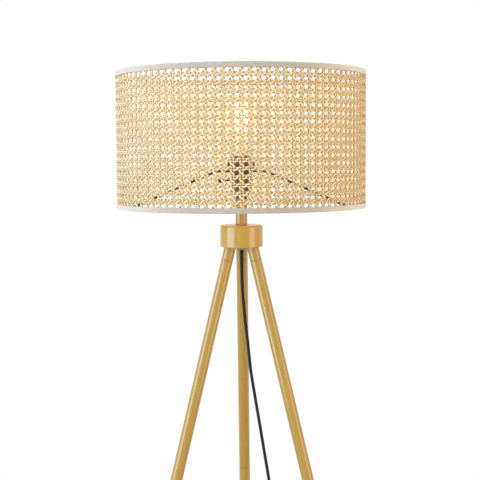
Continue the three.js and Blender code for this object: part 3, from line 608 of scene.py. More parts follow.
sprung_brass, tree, shader = new_material("sprung brass", "#c8a45a", 0.3, metallic=1.0)
brass_place = add_node(tree, "ShaderNodeTexCoord").outputs["Object"]
brass_tarnish = add_node(tree, "ShaderNodeTexNoise", {"Vector": brass_place, "Scale": 1 / 0.003, "Detail": 4.0})
brass_tone = add_node(tree, "ShaderNodeMix", {
    "Factor": brass_tarnish.outputs[0], 6: linear("#b8924a"), 7: linear("#d2b06a")}, data_type="RGBA")
set_inputs(shader, {"Base Color": brass_tone.outputs[2]})
contact_low, contact_high = heights("socket_contact")
contact_radius = 0.004
contact_top_radius = 0.0025
add_turned("lampholder_contact", [
    (contact_radius, contact_low, 0.0002), (contact_radius, contact_high - 0.0004, 0.0004),
    (contact_top_radius, contact_high, 0.0006), (0, contact_high, 0), (0, contact_low, 0)],
    small_sides, sprung_brass, "stand", "brass", "socket_contact")

# Turn knob: a fluted phenolic knob pressed on a shaft of the same resin that comes out of the lampholder's left
# side.
knob_low, knob_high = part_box("switch_knob")
knob_radius = 0.0038
knob_neck_radius = 0.0028
knob_face_radius = 0.0026
knob_sides = 128
knob_bore_radius = shaft_radius + 0.0002
flute_count = 16
flute_depth = 0.00022
fluted_from_radius = 0.0034
lie_left = Matrix.Translation((0, stem_axis.y, shaft_axis_height)) @ Matrix.Rotation(-math.pi / 2, 4, "Y")


def flutes(angle, radius, height):
    """Grip flutes round the knob's rim."""
    return flute_depth * (math.cos(flute_count * angle) - 1) if radius > fluted_from_radius else 0


knob_start, knob_end = -knob_high.x, -knob_low.x
knob_bore_end = knob_start + 0.005
knob_dish = knob_end - 0.0004
add_turned("switch_fluted_knob", [
    (0, knob_bore_end, 0), (knob_bore_radius, knob_bore_end, 0), (knob_bore_radius, knob_start, 0),
    (knob_neck_radius, knob_start, 0.0002), (knob_neck_radius + 0.0002, knob_start + 0.0012, 0.0002),
    (knob_radius, knob_start + 0.002, 0.0004), (knob_radius, knob_end, 0.0008),
    (knob_face_radius, knob_end, 0.0003), (knob_face_radius - 0.0002, knob_dish, 0.0002), (0, knob_dish, 0)],
    knob_sides, phenolic, "knob", "black_phenolic", "switch_knob", place=lie_left, swell=flutes)
shaft_low, shaft_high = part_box("switch_shaft")
add_turned("switch_round_shaft", [
    (0, -shaft_high.x, 0), (shaft_radius, -shaft_high.x, 0.0002), (shaft_radius, -shaft_low.x, 0.0002),
    (0, -shaft_low.x, 0)], small_sides, phenolic, "knob", "black_phenolic", "switch_shaft", place=lie_left)

# Shade fitter: a stamped steel ring sits on the lampholder's shoulder, and three bent wires welded to it reach
# down to the wire in the shade's bottom rim. It has the washer's black coat.
ring_low, ring_high = heights("fitter_ring")
ring_outer = 0.026
ring_inner = 0.0179
add_turned("fitter_stamped_ring", [
    (ring_outer, ring_low, 0.0006), (ring_outer, ring_high, 0.0006), (ring_inner, ring_high, 0.0003),
    (ring_inner, ring_low, 0.0003)], socket_sides, black_coat, "shade", "black_wire", "fitter_ring")


def swept(points, radii, sides):
    """A round tube through points, as wide at each as its radius there, with a UV map in metres."""
    rings = []
    along = [0.0]
    across = (points[1] - points[0]).normalized().orthogonal()
    for before, point, after, radius in zip(points[:1] + points, points, points[1:] + points[-1:], radii):
        heading = (after - before).normalized()
        across = (across - heading * across.dot(heading)).normalized()
        rise = heading.cross(across)
        angles = [2 * math.pi * j / sides for j in range(sides)]
        rings.append([point + radius * (across * math.cos(angle) + rise * math.sin(angle)) for angle in angles])
        along.append(along[-1] + (after - point).length)
    return mesh_of(skin(rings, lambda i, j: (along[i], max(radii) * 2 * math.pi * j / sides)))


arm_radius = 0.002
arm_sides = 24
arm_height = shade_bottom + 0.0595
arm_bend_radius = 0.0466
arm_bend_reach = 0.007
rim_wire_radius = 0.1984
rim_wire_height = shade_bottom + 0.0028
arm_start = Vector((shoulder_radius + 0.0003, 0, arm_height))
arm_bend = Vector((arm_bend_radius, 0, arm_height))
arm_foot = Vector((rim_wire_radius, 0, rim_wire_height))
arm_slope = (arm_foot - arm_bend).normalized()
bend_start = arm_bend - Vector((arm_bend_reach, 0, 0))
bend_end = arm_bend + arm_slope * arm_bend_reach
arm_end = arm_foot - arm_slope * (arm_radius + 0.0002)
arm_points = [arm_start.lerp(bend_start, i / 6) for i in range(6)]
arm_points += [bend(bend_start, arm_bend, bend_end, i / 8) for i in range(9)]
arm_points += [bend_end.lerp(arm_end, i / 12) for i in range(1, 13)]
for side, azimuth in leg_azimuths.items():
    arm = swept(arm_points, [arm_radius * 0.8] + [arm_radius] * (len(arm_points) - 1), arm_sides)
    add_piece(f"fitter_arm_{side}_wire", arm, black_coat, "shade", "black_wire", f"fitter_arm_{side}",
              place=at_stem @ Matrix.Rotation(math.radians(azimuth), 4, "Z"))
coat_nodes(black_coat, "bottom_rim_wire", "top_rim_wire")


# Clamp ring: a phenolic ring with grip ribs round its side. It is screwed down over the lampholder's thread onto
# the fitter's ring, and so holds the shade.
def repeated(name, base, count, turn, rise, wander, tones, material):
    """The base mesh set out count times, each turned about the stem and raised by one more step. Every strand or
    rib gets its own strand_tone between the two tones, and all wander a little within their sheet, as hand work
    does."""
    tree = bpy.data.node_groups.new(name, "GeometryNodeTree")
    tree.interface.new_socket("Base", in_out="INPUT", socket_type="NodeSocketGeometry")
    values = {}
    for label, kind, value in [("Count", "Int", count), ("Turn", "Float", turn), ("Rise", "Float", rise),
                               ("Wander", "Float", wander), ("Darkest", "Float", tones[0]),
                               ("Palest", "Float", tones[1]), ("Seed", "Int", 7)]:
        socket = tree.interface.new_socket(label, in_out="INPUT", socket_type=f"NodeSocket{kind}")
        values[socket.identifier] = value
    tree.interface.new_socket("Result", in_out="OUTPUT", socket_type="NodeSocketGeometry")
    given = add_node(tree, "NodeGroupInput").outputs
    index = add_node(tree, "GeometryNodeInputIndex").outputs[0]
    steps = [add_node(tree, "ShaderNodeMath", {0: index, 1: given[label]}, operation="MULTIPLY")
             for label in ("Rise", "Turn")]
    rise_here, turn_here = [add_node(tree, "ShaderNodeCombineXYZ", {"Z": step.outputs[0]}).outputs[0]
                            for step in steps]
    tone = add_node(tree, "FunctionNodeRandomValue", {
        2: given["Darkest"], 3: given["Palest"], "Seed": given["Seed"],
        "ID": add_node(tree, "GeometryNodeInputMeshIsland").outputs["Island Index"]}, data_type="FLOAT")
    cloud = add_node(tree, "ShaderNodeTexNoise", {"Scale": 1 / 0.02, "Detail": 1.0})
    centred = add_node(tree, "ShaderNodeVectorMath", {
        0: cloud.outputs["Color"], 1: (0.5, 0.5, 0.5)}, operation="SUBTRACT")
    level = add_node(tree, "ShaderNodeVectorMath", {
        0: add_node(tree, "GeometryNodeInputPosition").outputs[0], 1: (1, 1, 0)}, operation="MULTIPLY")
    inward = add_node(tree, "ShaderNodeVectorMath", {
        0: centred.outputs[0], 1: level.outputs[0]}, operation="PROJECT")
    in_sheet = add_node(tree, "ShaderNodeVectorMath", {
        0: centred.outputs[0], 1: inward.outputs[0]}, operation="SUBTRACT")
    shift = add_node(tree, "ShaderNodeVectorMath", {
        0: in_sheet.outputs[0], "Scale": given["Wander"]}, operation="SCALE")
    geometry = add_node(tree, "GeometryNodePoints", {"Count": given["Count"]}).outputs[0]
    for kind, inputs, settings in [
            ("GeometryNodeSetPosition", {"Position": rise_here}, {}),
            ("GeometryNodeInstanceOnPoints", {"Instance": given["Base"], "Rotation": turn_here}, {}),
            ("GeometryNodeRealizeInstances", {}, {}),
            ("GeometryNodeStoreNamedAttribute", {"Name": "strand_tone", "Value": tone.outputs[1]},
             {"data_type": "FLOAT", "domain": "POINT"}),
            ("GeometryNodeSetPosition", {"Offset": shift.outputs[0]}, {}),
            ("GeometryNodeRealizeInstances", {}, {}),
            ("GeometryNodeSetMaterial", {"Material": material}, {})]:
        geometry = add_node(tree, kind, {0: geometry, **inputs}, **settings).outputs[0]
    add_node(tree, "NodeGroupOutput", {0: geometry})
    holder = bpy.data.objects.new(name, base)
    scene.collection.objects.link(holder)
    modifier = holder.modifiers.new(name, "NODES")
    modifier.node_group = tree
    for identifier, value in values.items():
        modifier[identifier] = value
    made = bpy.data.meshes.new_from_object(holder.evaluated_get(bpy.context.evaluated_depsgraph_get()))
    holder.modifiers.clear()
    bpy.data.objects.remove(holder)
    return made


clamp_low, clamp_high = heights("clamp_ring")
clamp_radius = 0.0225
clamp_bore_radius = thread_radius + 0.0003
clamp_edge = 0.0012
rib_count = 36
rib_radius = 0.0009
rib_inset = 0.0006
rib_shares = (0.6, 1, 1, 1, 0.6)
rib_sides = 12
clamp = turned(rounded([
    (clamp_radius - rib_inset, clamp_low, clamp_edge), (clamp_radius - rib_inset, clamp_high, clamp_edge),
    (clamp_bore_radius, clamp_high, 0.0004), (clamp_bore_radius, clamp_low, 0.0004)]), socket_sides)
rib = swept([Vector((clamp_radius - rib_radius, 0,
                     clamp_low + clamp_edge + (clamp_high - clamp_low - 2 * clamp_edge) * i / 4)) for i in range(5)],
            [rib_radius * share for share in rib_shares], rib_sides)
ribs = repeated("clamp_ribs", rib, rib_count, 2 * math.pi / rib_count, 0.0, 0.0, (0.0, 1.0), phenolic)
for name, mesh in (("clamp_ring_body", clamp), ("clamp_ring_ribs", ribs)):
    add_piece(name, mesh, phenolic, "stand", "black_phenolic", "clamp_ring")

# Cane panel: webbing woven from split cane, the glossy outer skin of rattan. Pairs of uprights and pairs of hoops
# interlace, and a single strand in each diagonal direction crosses over the one and under the other, which
# leaves an eight-sided hole in every mesh. The webbing is bent into the drum and held between the rims.
panel_low, panel_high = heights("cane_panel")
weave_radius = 0.20165
weave_columns = 96
weave_rows = 18
row_pitch = 0.0124
lowest_row = shade_bottom + 0.0041
weave_turn = math.radians(1.44)
upright_half, upright_width = 0.00205, 0.00242
hoop_half, hoop_width = 0.00193, 0.0023
diagonal_width = 0.00235
strand_thickness = 0.001
gap_start, gap_end = 0.34, 0.66
crossing_lift = 0.95
crossing_steepness = 2.2
steps_per_row = 8
weave_wander = 0.004
column_angle = 2 * math.pi / weave_columns
column_pitch = weave_radius * column_angle
section_shares = [(-0.5, -0.2), (-0.27, 0.38), (0.0, 0.5), (0.27, 0.38), (0.5, -0.2), (0.42, -0.5), (-0.42, -0.5)]


def strand(angles, levels, lifts, width, lean, closed=False):
    """A ribbon with a flat back and a crowned face, laid on the drum through angles and levels. Lean is the
    strand's direction in the sheet, as (round, up), and lifts how far it stands out of the sheet."""
    across_round, across_up = lean[1] / math.hypot(*lean), -lean[0] / math.hypot(*lean)
    rings = []
    for angle, level, lift in zip(angles, levels, lifts):
        ring = []
        for width_share, thick_share in section_shares:
            aside = width_share * width
            out = weave_radius + lift + thick_share * strand_thickness
            around = angle + aside * across_round / weave_radius
            ring.append((out * math.cos(around), out * math.sin(around), level + aside * across_up))
        rings.append(ring)
    along = [0.0]
    for i in range(len(angles)):
        j = (i + 1) % len(angles)
        stride = (angles[j] - angles[i] + math.pi) % (2 * math.pi) - math.pi
        along.append(along[-1] + math.hypot(stride * weave_radius, levels[j] - levels[i]))
    return mesh_of(skin(rings, lambda i, j: (along[i], section_shares[j % len(section_shares)][0] * width), closed))


def together(*meshes):
    """Several meshes in one."""
    shape = bmesh.new()
    for mesh in meshes:
        shape.from_mesh(mesh)
    return mesh_of(shape)


# Split cane: straw coloured, satin on its crowned outer skin, with fine fibres, each strand of its own tone and a
# # brown fleck here and there. Painted shade browns each strand along its edges and darkens it where it dips between
# # its neighbours. Its back is pale pith. Light comes through it a little. Fibres are drawn about 0.3 mm wide.
split_cane, tree, shader = new_material("split rattan cane", "#eecb98", 0.4)
cane_map = add_node(tree, "ShaderNodeUVMap", uv_map="UVMap").outputs[0]
cane_tone = add_node(tree, "ShaderNodeAttribute", attribute_name="strand_tone").outputs["Fac"]
tone_spread = add_node(tree, "ShaderNodeMix", {
    "Factor": cane_tone, 6: linear("#eac68c"), 7: linear("#fff4d2")}, data_type="RGBA")
fibre_start = add_node(tree, "ShaderNodeCombineXYZ", {"X": cane_tone, "Z": cane_tone})
fibre_map = add_node(tree, "ShaderNodeMapping", {
    "Vector": cane_map, "Location": fibre_start.outputs[0], "Scale": (1 / 0.02, 1 / 0.0003, 1.0)})
fibres = add_node(tree, "ShaderNodeTexNoise", {"Vector": fibre_map.outputs[0], "Scale": 1.0, "Detail": 3.0})
fibre_depth = add_node(tree, "ShaderNodeMapRange", {
    "Value": fibres.outputs[0], "From Min": 0.3, "From Max": 0.7, "To Min": 0.9, "To Max": 1.06})
fibred = add_node(tree, "ShaderNodeVectorMath", {
    0: tone_spread.outputs[2], 1: fibre_depth.outputs[0]}, operation="MULTIPLY")
cane_place = add_node(tree, "ShaderNodeTexCoord").outputs["Object"]
cane_cloud = add_node(tree, "ShaderNodeTexNoise", {"Vector": cane_place, "Scale": 1 / 0.0035, "Detail": 2.0})
fleck = add_node(tree, "ShaderNodeMapRange", {
    "Value": cane_cloud.outputs[0], "From Min": 0.6, "From Max": 0.7, "To Min": 0.0, "To Max": 0.5})
flecked = add_node(tree, "ShaderNodeMix", {
    "Factor": fleck.outputs[0], 6: fibred.outputs[0], 7: linear("#8f6a36")}, data_type="RGBA")
# Painted shade: the colour browns towards each strand's two edges, where its neighbours shade it.
cane_aside = add_node(tree, "ShaderNodeSeparateXYZ", {0: cane_map})
off_centre = add_node(tree, "ShaderNodeMath", {0: cane_aside.outputs["Y"]}, operation="ABSOLUTE")
edge_shade_share = add_node(tree, "ShaderNodeMapRange", {
    "Value": off_centre.outputs[0], "From Min": 0.0006, "From Max": 0.0011, "To Min": 0.0, "To Max": 0.8})
edge_shaded = add_node(tree, "ShaderNodeMix", {
    "Factor": edge_shade_share.outputs[0], 6: flecked.outputs[2], 7: linear("#7a5c34")}, data_type="RGBA")
# Painted shade: the colour darkens where a strand lies near the middle of the sheet, dipping under its neighbours.
from_stem = add_node(tree, "ShaderNodeVectorMath", {0: cane_place, 1: stem_axis}, operation="SUBTRACT")
outward = add_node(tree, "ShaderNodeVectorMath", {0: from_stem.outputs[0], 1: (1, 1, 0)}, operation="MULTIPLY")
radius_here = add_node(tree, "ShaderNodeVectorMath", {0: outward.outputs[0]}, operation="LENGTH")
from_middle = add_node(tree, "ShaderNodeMath", {
    0: radius_here.outputs["Value"], 1: weave_radius}, operation="SUBTRACT")
depth_here = add_node(tree, "ShaderNodeMath", {0: from_middle.outputs[0]}, operation="ABSOLUTE")
dip_shade_share = add_node(tree, "ShaderNodeMapRange", {
    "Value": depth_here.outputs[0], "From Min": 0.0001, "From Max": 0.0007, "To Min": 1.0, "To Max": 0.0})
shaded = add_node(tree, "ShaderNodeMix", {
    "Factor": dip_shade_share.outputs[0], 6: edge_shaded.outputs[2], 7: linear("#786136")}, data_type="RGBA")
cane_normal = add_node(tree, "ShaderNodeTexCoord").outputs["Normal"]
faces_out = add_node(tree, "ShaderNodeVectorMath", {0: outward.outputs[0], 1: cane_normal}, operation="DOT_PRODUCT")
back_share = add_node(tree, "ShaderNodeMapRange", {
    "Value": faces_out.outputs["Value"], "From Min": -0.1, "From Max": 0.0, "To Min": 0.8, "To Max": 0.0})
backed = add_node(tree, "ShaderNodeMix", {
    "Factor": back_share.outputs[0], 6: shaded.outputs[2], 7: linear("#edd9b7")}, data_type="RGBA")
cane_bump = add_node(tree, "ShaderNodeBump", {
    "Height": fibres.outputs[0], "Strength": 0.25, "Distance": 0.00015})
set_inputs(shader, {
    "Base Color": backed.outputs[2], "Normal": cane_bump.outputs[0], "Specular IOR Level": 0.5,
    "Subsurface Weight": 0.6, "Subsurface Radius": (1.0, 0.8, 0.55), "Subsurface Scale": 0.003})


def crossing_steps(pair_half, pitch):
    """Where a strand meets a crossing pair, as (distance, side of the pair's strand) steps over one pitch."""
    return (-pair_half, -1), (pair_half, 1), (pitch * gap_start, 0), (pitch * gap_end, 0)


half_thickness = strand_thickness / 2
upright_steps = [(lowest_row + row * row_pitch + offset, side) for row in range(weave_rows)
                 for offset, side in crossing_steps(hoop_half, row_pitch)]
upright_steps = [(panel_low, 0), *[step for step in upright_steps if panel_low < step[0] < panel_high],
                 (panel_high, 0)]
uprights = together(*[
    strand([weave_turn + pair_side * upright_half / weave_radius] * len(upright_steps),
           [height for height, side in upright_steps],
           [pair_side * side * half_thickness for height, side in upright_steps], upright_width, (0, 1))
    for pair_side in (-1, 1)])
hoop_steps = [(weave_turn + column * column_angle + offset / weave_radius, side) for column in range(weave_columns)
              for offset, side in crossing_steps(upright_half, column_pitch)]
hoops = together(*[
    strand([angle for angle, side in hoop_steps], [lowest_row + pair_side * hoop_half] * len(hoop_steps),
           [-pair_side * side * half_thickness for angle, side in hoop_steps], hoop_width, (1, 0), closed=True)
    for pair_side in (-1, 1)])


def diagonal(way):
    """One strand that climbs the whole panel, leaning to the right (1) or to the left (-1) as it climbs."""
    low_row = (panel_low + diagonal_width - lowest_row) / row_pitch
    high_row = (panel_high - diagonal_width - lowest_row) / row_pitch
    inner = np.arange(math.ceil(low_row * steps_per_row), math.floor(high_row * steps_per_row) + 1) / steps_per_row
    rows = np.concatenate([[low_row], inner, [high_row]])
    angles = weave_turn + (way * rows + 0.5) * column_angle
    wave = np.tanh(crossing_steepness * np.cos(2 * math.pi * rows)) / math.tanh(crossing_steepness)
    lifts = way * strand_thickness * crossing_lift * wave
    return strand(list(angles), list(lowest_row + rows * row_pitch), list(lifts), diagonal_width,
                  (way * column_pitch, row_pitch))


pair_tones, diagonal_tones = (0.0, 0.8), (0.2, 1.0)
for name, base, count, turn, rise, tones in [
        ("cane_uprights", uprights, weave_columns, column_angle, 0.0, pair_tones),
        ("cane_hoops", hoops, weave_rows, 0.0, row_pitch, pair_tones),
        ("cane_diagonals_right", diagonal(1), weave_columns, column_angle, 0.0, diagonal_tones),
        ("cane_diagonals_left", diagonal(-1), weave_columns, column_angle, 0.0, diagonal_tones)]:
    woven = repeated(name, base, count, turn, rise, weave_wander, tones, split_cane)
    cane_piece = add_piece(name, woven, split_cane, "shade", "woven_cane", "cane_panel", sharp_degrees=60)
    cane_alone.objects.link(cane_piece)
    all_but_cane.objects.link(cane_piece)
for spared in all_but_cane.collection_objects:
    spared.light_linking.link_state = "EXCLUDE"

# Rim tapes: linen tape folded over each rim wire and the edge of the webbing and glued down, so that a band shows
# outside and the wire's roundness inside. Unbleached linen is greyish cream, with thick and thin threads.
tape_outer = 0.2034
tape_width = 0.008
tape_inner = 0.1956
tape_thickness = 0.0005
tape_over_wire = 0.0052
tape_inner_edge_low, tape_inner_edge_high = 0.1994, 0.1998
tape_sides = 288
linen, tree, shader = new_material("unbleached linen tape", "#cfc8bb", 0.9)
linen_map = add_node(tree, "ShaderNodeUVMap", uv_map="UVMap").outputs[0]
weft_map, warp_map, thread_map = [
    add_node(tree, "ShaderNodeMapping", {"Vector": linen_map, "Scale": (1 / along, 1 / across, 1.0)})
    for along, across in ((0.006, 0.0006), (0.0006, 0.006), (0.0007, 0.0007))]
weft_slubs, warp_slubs = [
    add_node(tree, "ShaderNodeTexNoise", {"Vector": thread_way.outputs[0], "Scale": 1.0, "Detail": 2.0})
    for thread_way in (weft_map, warp_map)]
slubs = add_node(tree, "ShaderNodeMath", {0: weft_slubs.outputs[0], 1: warp_slubs.outputs[0]}, operation="ADD")
linen_depth = add_node(tree, "ShaderNodeMapRange", {
    "Value": slubs.outputs[0], "From Min": 0.75, "From Max": 1.25})
linen_tone = add_node(tree, "ShaderNodeMix", {
    "Factor": linen_depth.outputs[0], 6: linear("#afa594"), 7: linear("#d4cebf")}, data_type="RGBA")
threads = add_node(tree, "ShaderNodeTexChecker", {"Vector": thread_map.outputs[0], "Scale": 1.0})
linen_height = add_node(tree, "ShaderNodeMath", {
    0: threads.outputs["Fac"], 1: slubs.outputs[0]}, operation="ADD")
linen_bump = add_node(tree, "ShaderNodeBump", {
    "Height": linen_height.outputs[0], "Strength": 0.35, "Distance": 0.0002})
set_inputs(shader, {
    "Base Color": linen_tone.outputs[2], "Normal": linen_bump.outputs[0], "Specular IOR Level": 0.2,
    "Sheen Weight": 1.0, "Sheen Roughness": 0.5})


def rim_tape(rim, inward):
    """The folded tape's closed section turned about the stem, from the rim inwards by its width."""
    edge = rim + inward * tape_width
    fold = rim + inward * tape_thickness
    wire_side = rim + inward * tape_over_wire
    return turned(rounded([
        (tape_outer, rim, 0.0008), (tape_outer, edge, 0.0002), (tape_outer - tape_thickness, edge, 0),
        (tape_outer - tape_thickness, fold, 0), (tape_inner + tape_thickness, fold, 0.0008),
        (tape_inner + tape_thickness, wire_side, 0.0008), (tape_inner_edge_high, edge, 0),
        (tape_inner_edge_low, edge, 0), (tape_inner, wire_side, 0.0012), (tape_inner, rim, 0.0014)], steps=5),
        tape_sides)


arm_slot_half = 0.003
arm_slot_depth = 0.2006
bottom_tape = rim_tape(shade_bottom, 1)
for azimuth in leg_azimuths.values():
    slot = block((tape_inner - 0.002, -arm_slot_half, shade_bottom + tape_thickness),
                 (arm_slot_depth, arm_slot_half, shade_bottom + tape_width + 0.002))
    slot.transform(Matrix.Rotation(math.radians(azimuth), 4, "Z"))
    bottom_tape = cut_with(bottom_tape, slot)
for end, tape in (("bottom", bottom_tape), ("top", rim_tape(shade_top, -1))):
    tapes_alone.objects.link(add_piece(f"{end}_linen_tape", tape, linen, "shade", "linen_tape", f"{end}_rim_tape"))

# Bulb: a pear-shaped envelope frosted inside, lit. The glowing core shows white through the frost, and the rest of
# the glass is a warm cream. It is cemented in an aluminium screw base with a black glass insulator and solder tip.
glass_low, glass_high = heights("bulb_glass")
bulb_radius = 0.03
dome_height = glass_high - bulb_radius
dome_drop = math.radians(25)
neck_radius = 0.0135
glass_wall = 0.001
neck_pull_share = 0.5
dome_pull_share = 0.35
bulb_sides = 96
bulb_steps = 20


def bulb_outline(inset):
    """Half of the envelope's section, from its neck up to its crown, drawn in by inset."""
    dome = bulb_radius - inset
    neck = neck_radius - inset
    shoulder = Vector((dome * math.cos(dome_drop), dome_height - dome * math.sin(dome_drop)))
    rise = shoulder.y - glass_low
    pull = dome_pull_share * rise
    corners = [Vector((neck, glass_low)), Vector((neck, glass_low + neck_pull_share * rise)),
               shoulder - pull * Vector((math.sin(dome_drop), math.cos(dome_drop))), shoulder]
    points = []
    for step in range(bulb_steps):
        share = step / bulb_steps
        weights = [(1 - share) ** 3, 3 * share * (1 - share) ** 2, 3 * share ** 2 * (1 - share), share ** 3]
        spot = sum((corner * weight for corner, weight in zip(corners, weights)), Vector((0, 0)))
        points.append(tuple(spot))
    for step in range(bulb_steps):
        angle = -dome_drop + (math.pi / 2 + dome_drop) * step / bulb_steps
        points.append((dome * math.cos(angle), dome_height + dome * math.sin(angle)))
    return points + [(0, dome_height + dome)]


frosted, tree, shader = new_material("frosted lamp glass, lit", "#dccdb0", 0.55)
frost_place = add_node(tree, "ShaderNodeTexCoord").outputs["Object"]
frost_grain = add_node(tree, "ShaderNodeTexNoise", {"Vector": frost_place, "Scale": 1 / 0.0005, "Detail": 2.0})
frost_bump = add_node(tree, "ShaderNodeBump", {
    "Height": frost_grain.outputs[0], "Strength": 0.15, "Distance": 0.0001})
set_inputs(shader, {"Emission Color": linear("#fff0dc"), "Emission Strength": 0.2, "Alpha": 0.45,
                    "Normal": frost_bump.outputs[0]})
envelope = turned(bulb_outline(0) + bulb_outline(glass_wall)[::-1], bulb_sides)
envelope_piece = add_piece("bulb_envelope", envelope, frosted, "bulb", "frosted_glass", "bulb_glass")

bulb_watts = 0.95
core_radius = 0.0125
core_sides = 64
core_low = shade_bottom + 0.121
core_high = shade_bottom + 0.169
glow, tree, shader = new_material("glowing filament haze", "#ffffff", 1.0)
core_place = add_node(tree, "ShaderNodeTexCoord").outputs["Object"]
core_cloud = add_node(tree, "ShaderNodeTexNoise", {"Vector": core_place, "Scale": 1 / 0.02, "Detail": 2.0})
core_tone = add_node(tree, "ShaderNodeMix", {
    "Factor": core_cloud.outputs[0], 6: linear("#ffdca4"), 7: linear("#ffe9c4")}, data_type="RGBA")
set_inputs(shader, {"Emission Color": core_tone.outputs[2], "Emission Strength": 4.0})
core_piece = add_turned("bulb_glowing_core", [
    (0, core_low, 0), (core_radius * 0.55, core_low, 0.006), (core_radius, core_low + 0.02, 0.012),
    (core_radius, core_high, 0.016), (0, core_high, 0)],
    core_sides, glow, "bulb", "frosted_glass", "bulb_glass", steps=10)
bulb_light = bpy.data.objects.new("light of the bulb", bpy.data.lights.new("light of the bulb", "POINT"))
bulb_light.data.energy = bulb_watts
bulb_light.data.color = linear("#fff0d8")[:3]
bulb_light.data.shadow_soft_size = core_radius
bulb_light.location = stem_axis + Vector((0, 0, (core_low + core_high) / 2))
scene.collection.objects.link(bulb_light)
own_glass = bpy.data.collections.new("glass that the bulb's light leaves alone")
for piece in (envelope_piece, core_piece):
    piece.visible_shadow = False
    own_glass.objects.link(piece)
bulb_light.light_linking.receiver_collection = own_glass
for spared in own_glass.collection_objects:
    spared.light_linking.link_state = "EXCLUDE"

base_low, base_high = heights("bulb_base")
base_radius = 0.013
base_tip_outer, base_tip_inner = 0.0095, 0.0085
wall_low = base_low + 0.0026
wall_high = base_high - 0.004
screw_base = turned(
    [(base_tip_outer, base_low)]
    + [(base_radius - 0.0003, wall_low + (wall_high - wall_low) * i / wall_steps) for i in range(wall_steps + 1)]
    + rounded([(base_radius - 0.0002, base_high - 0.003, 0), (base_radius + 0.0004, base_high, 0.0002),
               (base_radius - 0.0012, base_high, 0), (base_radius - 0.0015, base_low + 0.003, 0),
               (base_tip_inner, base_low, 0)]), bulb_sides, swell=rolled_thread)
add_piece("bulb_screw_base", screw_base, rolled_aluminium, "bulb", "aluminium", "bulb_base")

black_glass, tree, shader = new_material("black insulator glass", "#131416", 0.12)
glass_place = add_node(tree, "ShaderNodeTexCoord").outputs["Object"]
glass_swirl = add_node(tree, "ShaderNodeTexNoise", {
    "Vector": glass_place, "Scale": 1 / 0.003, "Detail": 2.0, "Distortion": 1.0})
glass_tone = add_node(tree, "ShaderNodeMix", {
    "Factor": glass_swirl.outputs[0], 6: linear("#0f1012"), 7: linear("#1c1d20")}, data_type="RGBA")
set_inputs(shader, {"Base Color": glass_tone.outputs[2]})
tip_low, tip_high = heights("bulb_contact")
solder_radius, solder_edge_radius, glass_edge_radius = 0.003, 0.0044, 0.0052
add_turned("bulb_insulator", [
    (0, tip_low, 0), (solder_radius, tip_low, 0.001), (solder_edge_radius, tip_low + 0.0013, 0.0006),
    (glass_edge_radius, tip_low + 0.0018, 0), (base_tip_outer, tip_high, 0.0004), (0, tip_high, 0)],
    bulb_sides, black_glass, "bulb_carrier", "black_glass", "bulb_contact")

# Cord: a round two-core lead in black vinyl, which leaves the bushing under the hub, hangs in a long easy sweep to
# the floor, and is put away in a tied coil there. It runs on to a moulded plug. The vinyl is soft and matt, with
# the slight lengthwise drag marks of extrusion. The short lead inside the rod is plain black.
cord_radius = 0.0026
cord_sides = 16
cord_exit = bushing_low - 0.0003
cord_points_spacing = 0.004
coil_centre = Vector((0.1834, 0.06, 0))
coil_pitch = 0.0057
coil_mean_radius = 0.03
coil_layer_turns = 3.125
coil_climb_turns = 0.5
coil_bottom = 0.0041
coil_steps = 48
coil_inner = coil_mean_radius - coil_layer_turns * coil_pitch / 2
coil_outer = coil_mean_radius + coil_layer_turns * coil_pitch / 2


def coil_point(turn):
    """A point of the coil, which spirals in on the floor and out again on top of itself."""
    inward = turn < coil_layer_turns
    radius = coil_outer - coil_pitch * turn if inward else coil_inner + coil_pitch * (turn - coil_layer_turns)
    share = min(max((turn - coil_layer_turns) / coil_climb_turns + 0.5, 0), 1)
    climb = share * share * (3 - 2 * share)
    angle = 2 * math.pi * turn
    height = coil_bottom + coil_pitch * climb
    return coil_centre + Vector((radius * math.cos(angle), radius * math.sin(angle), height))


def smooth_route(points):
    """Points along a smooth curve through a cord's route, its knots spaced by the roots of their distances."""
    stops = [2 * points[0] - points[1], *points, 2 * points[-1] - points[-2]]
    route = []
    for before, start, end, after in zip(stops, stops[1:], stops[2:], stops[3:]):
        first, second, third = ((b - a).length ** 0.5 for a, b in ((before, start), (start, end), (end, after)))
        leave = second * ((start - before) / first - (end - before) / (first + second) + (end - start) / second)
        arrive = second * ((end - start) / second - (after - start) / (second + third) + (after - end) / third)
        steps = max(2, round((end - start).length / cord_points_spacing))
        for step in range(steps):
            t = step / steps
            route.append(start * (2 * t ** 3 - 3 * t ** 2 + 1) + leave * (t ** 3 - 2 * t ** 2 + t)
                         + end * (3 * t ** 2 - 2 * t ** 3) + arrive * (t ** 3 - t ** 2))
    return route + [points[-1]]


coil_turns = 2 * coil_layer_turns
coil_count = round(coil_turns * coil_steps)
coil_points = [coil_point(coil_turns * step / coil_count) for step in range(coil_count + 1)]
coil_entry = (coil_points[1] - coil_points[0]).normalized()
coil_leave = ((coil_points[-1] - coil_points[-2]) * Vector((1, 1, 0))).normalized()
drop_route = [
    (0, 0, 1.166), (0.0002, 0, 1.15), (0.001, -0.0005, 1.12), (0.0026, -0.001, 1.098), (0.0054, -0.001, 1.066),
    (0.0092, -0.001, 1.032), (0.0143, -0.001, 0.981), (0.0207, -0.001, 0.94), (0.0272, -0.001, 0.9),
    (0.0336, -0.001, 0.86), (0.04, -0.001, 0.82), (0.0496, -0.001, 0.76), (0.0602, -0.001, 0.7),
    (0.0754, -0.001, 0.62), (0.0922, -0.002, 0.54), (0.11, -0.003, 0.46), (0.1288, -0.004, 0.38),
    (0.1482, -0.005, 0.3), (0.168, -0.006, 0.22), (0.1846, -0.0066, 0.15), (0.1982, -0.0065, 0.09),
    (0.2058, -0.004, 0.056), (0.2116, 0.003, 0.03), (0.216, 0.015, 0.0125), (0.2194, 0.03, 0.0048)]
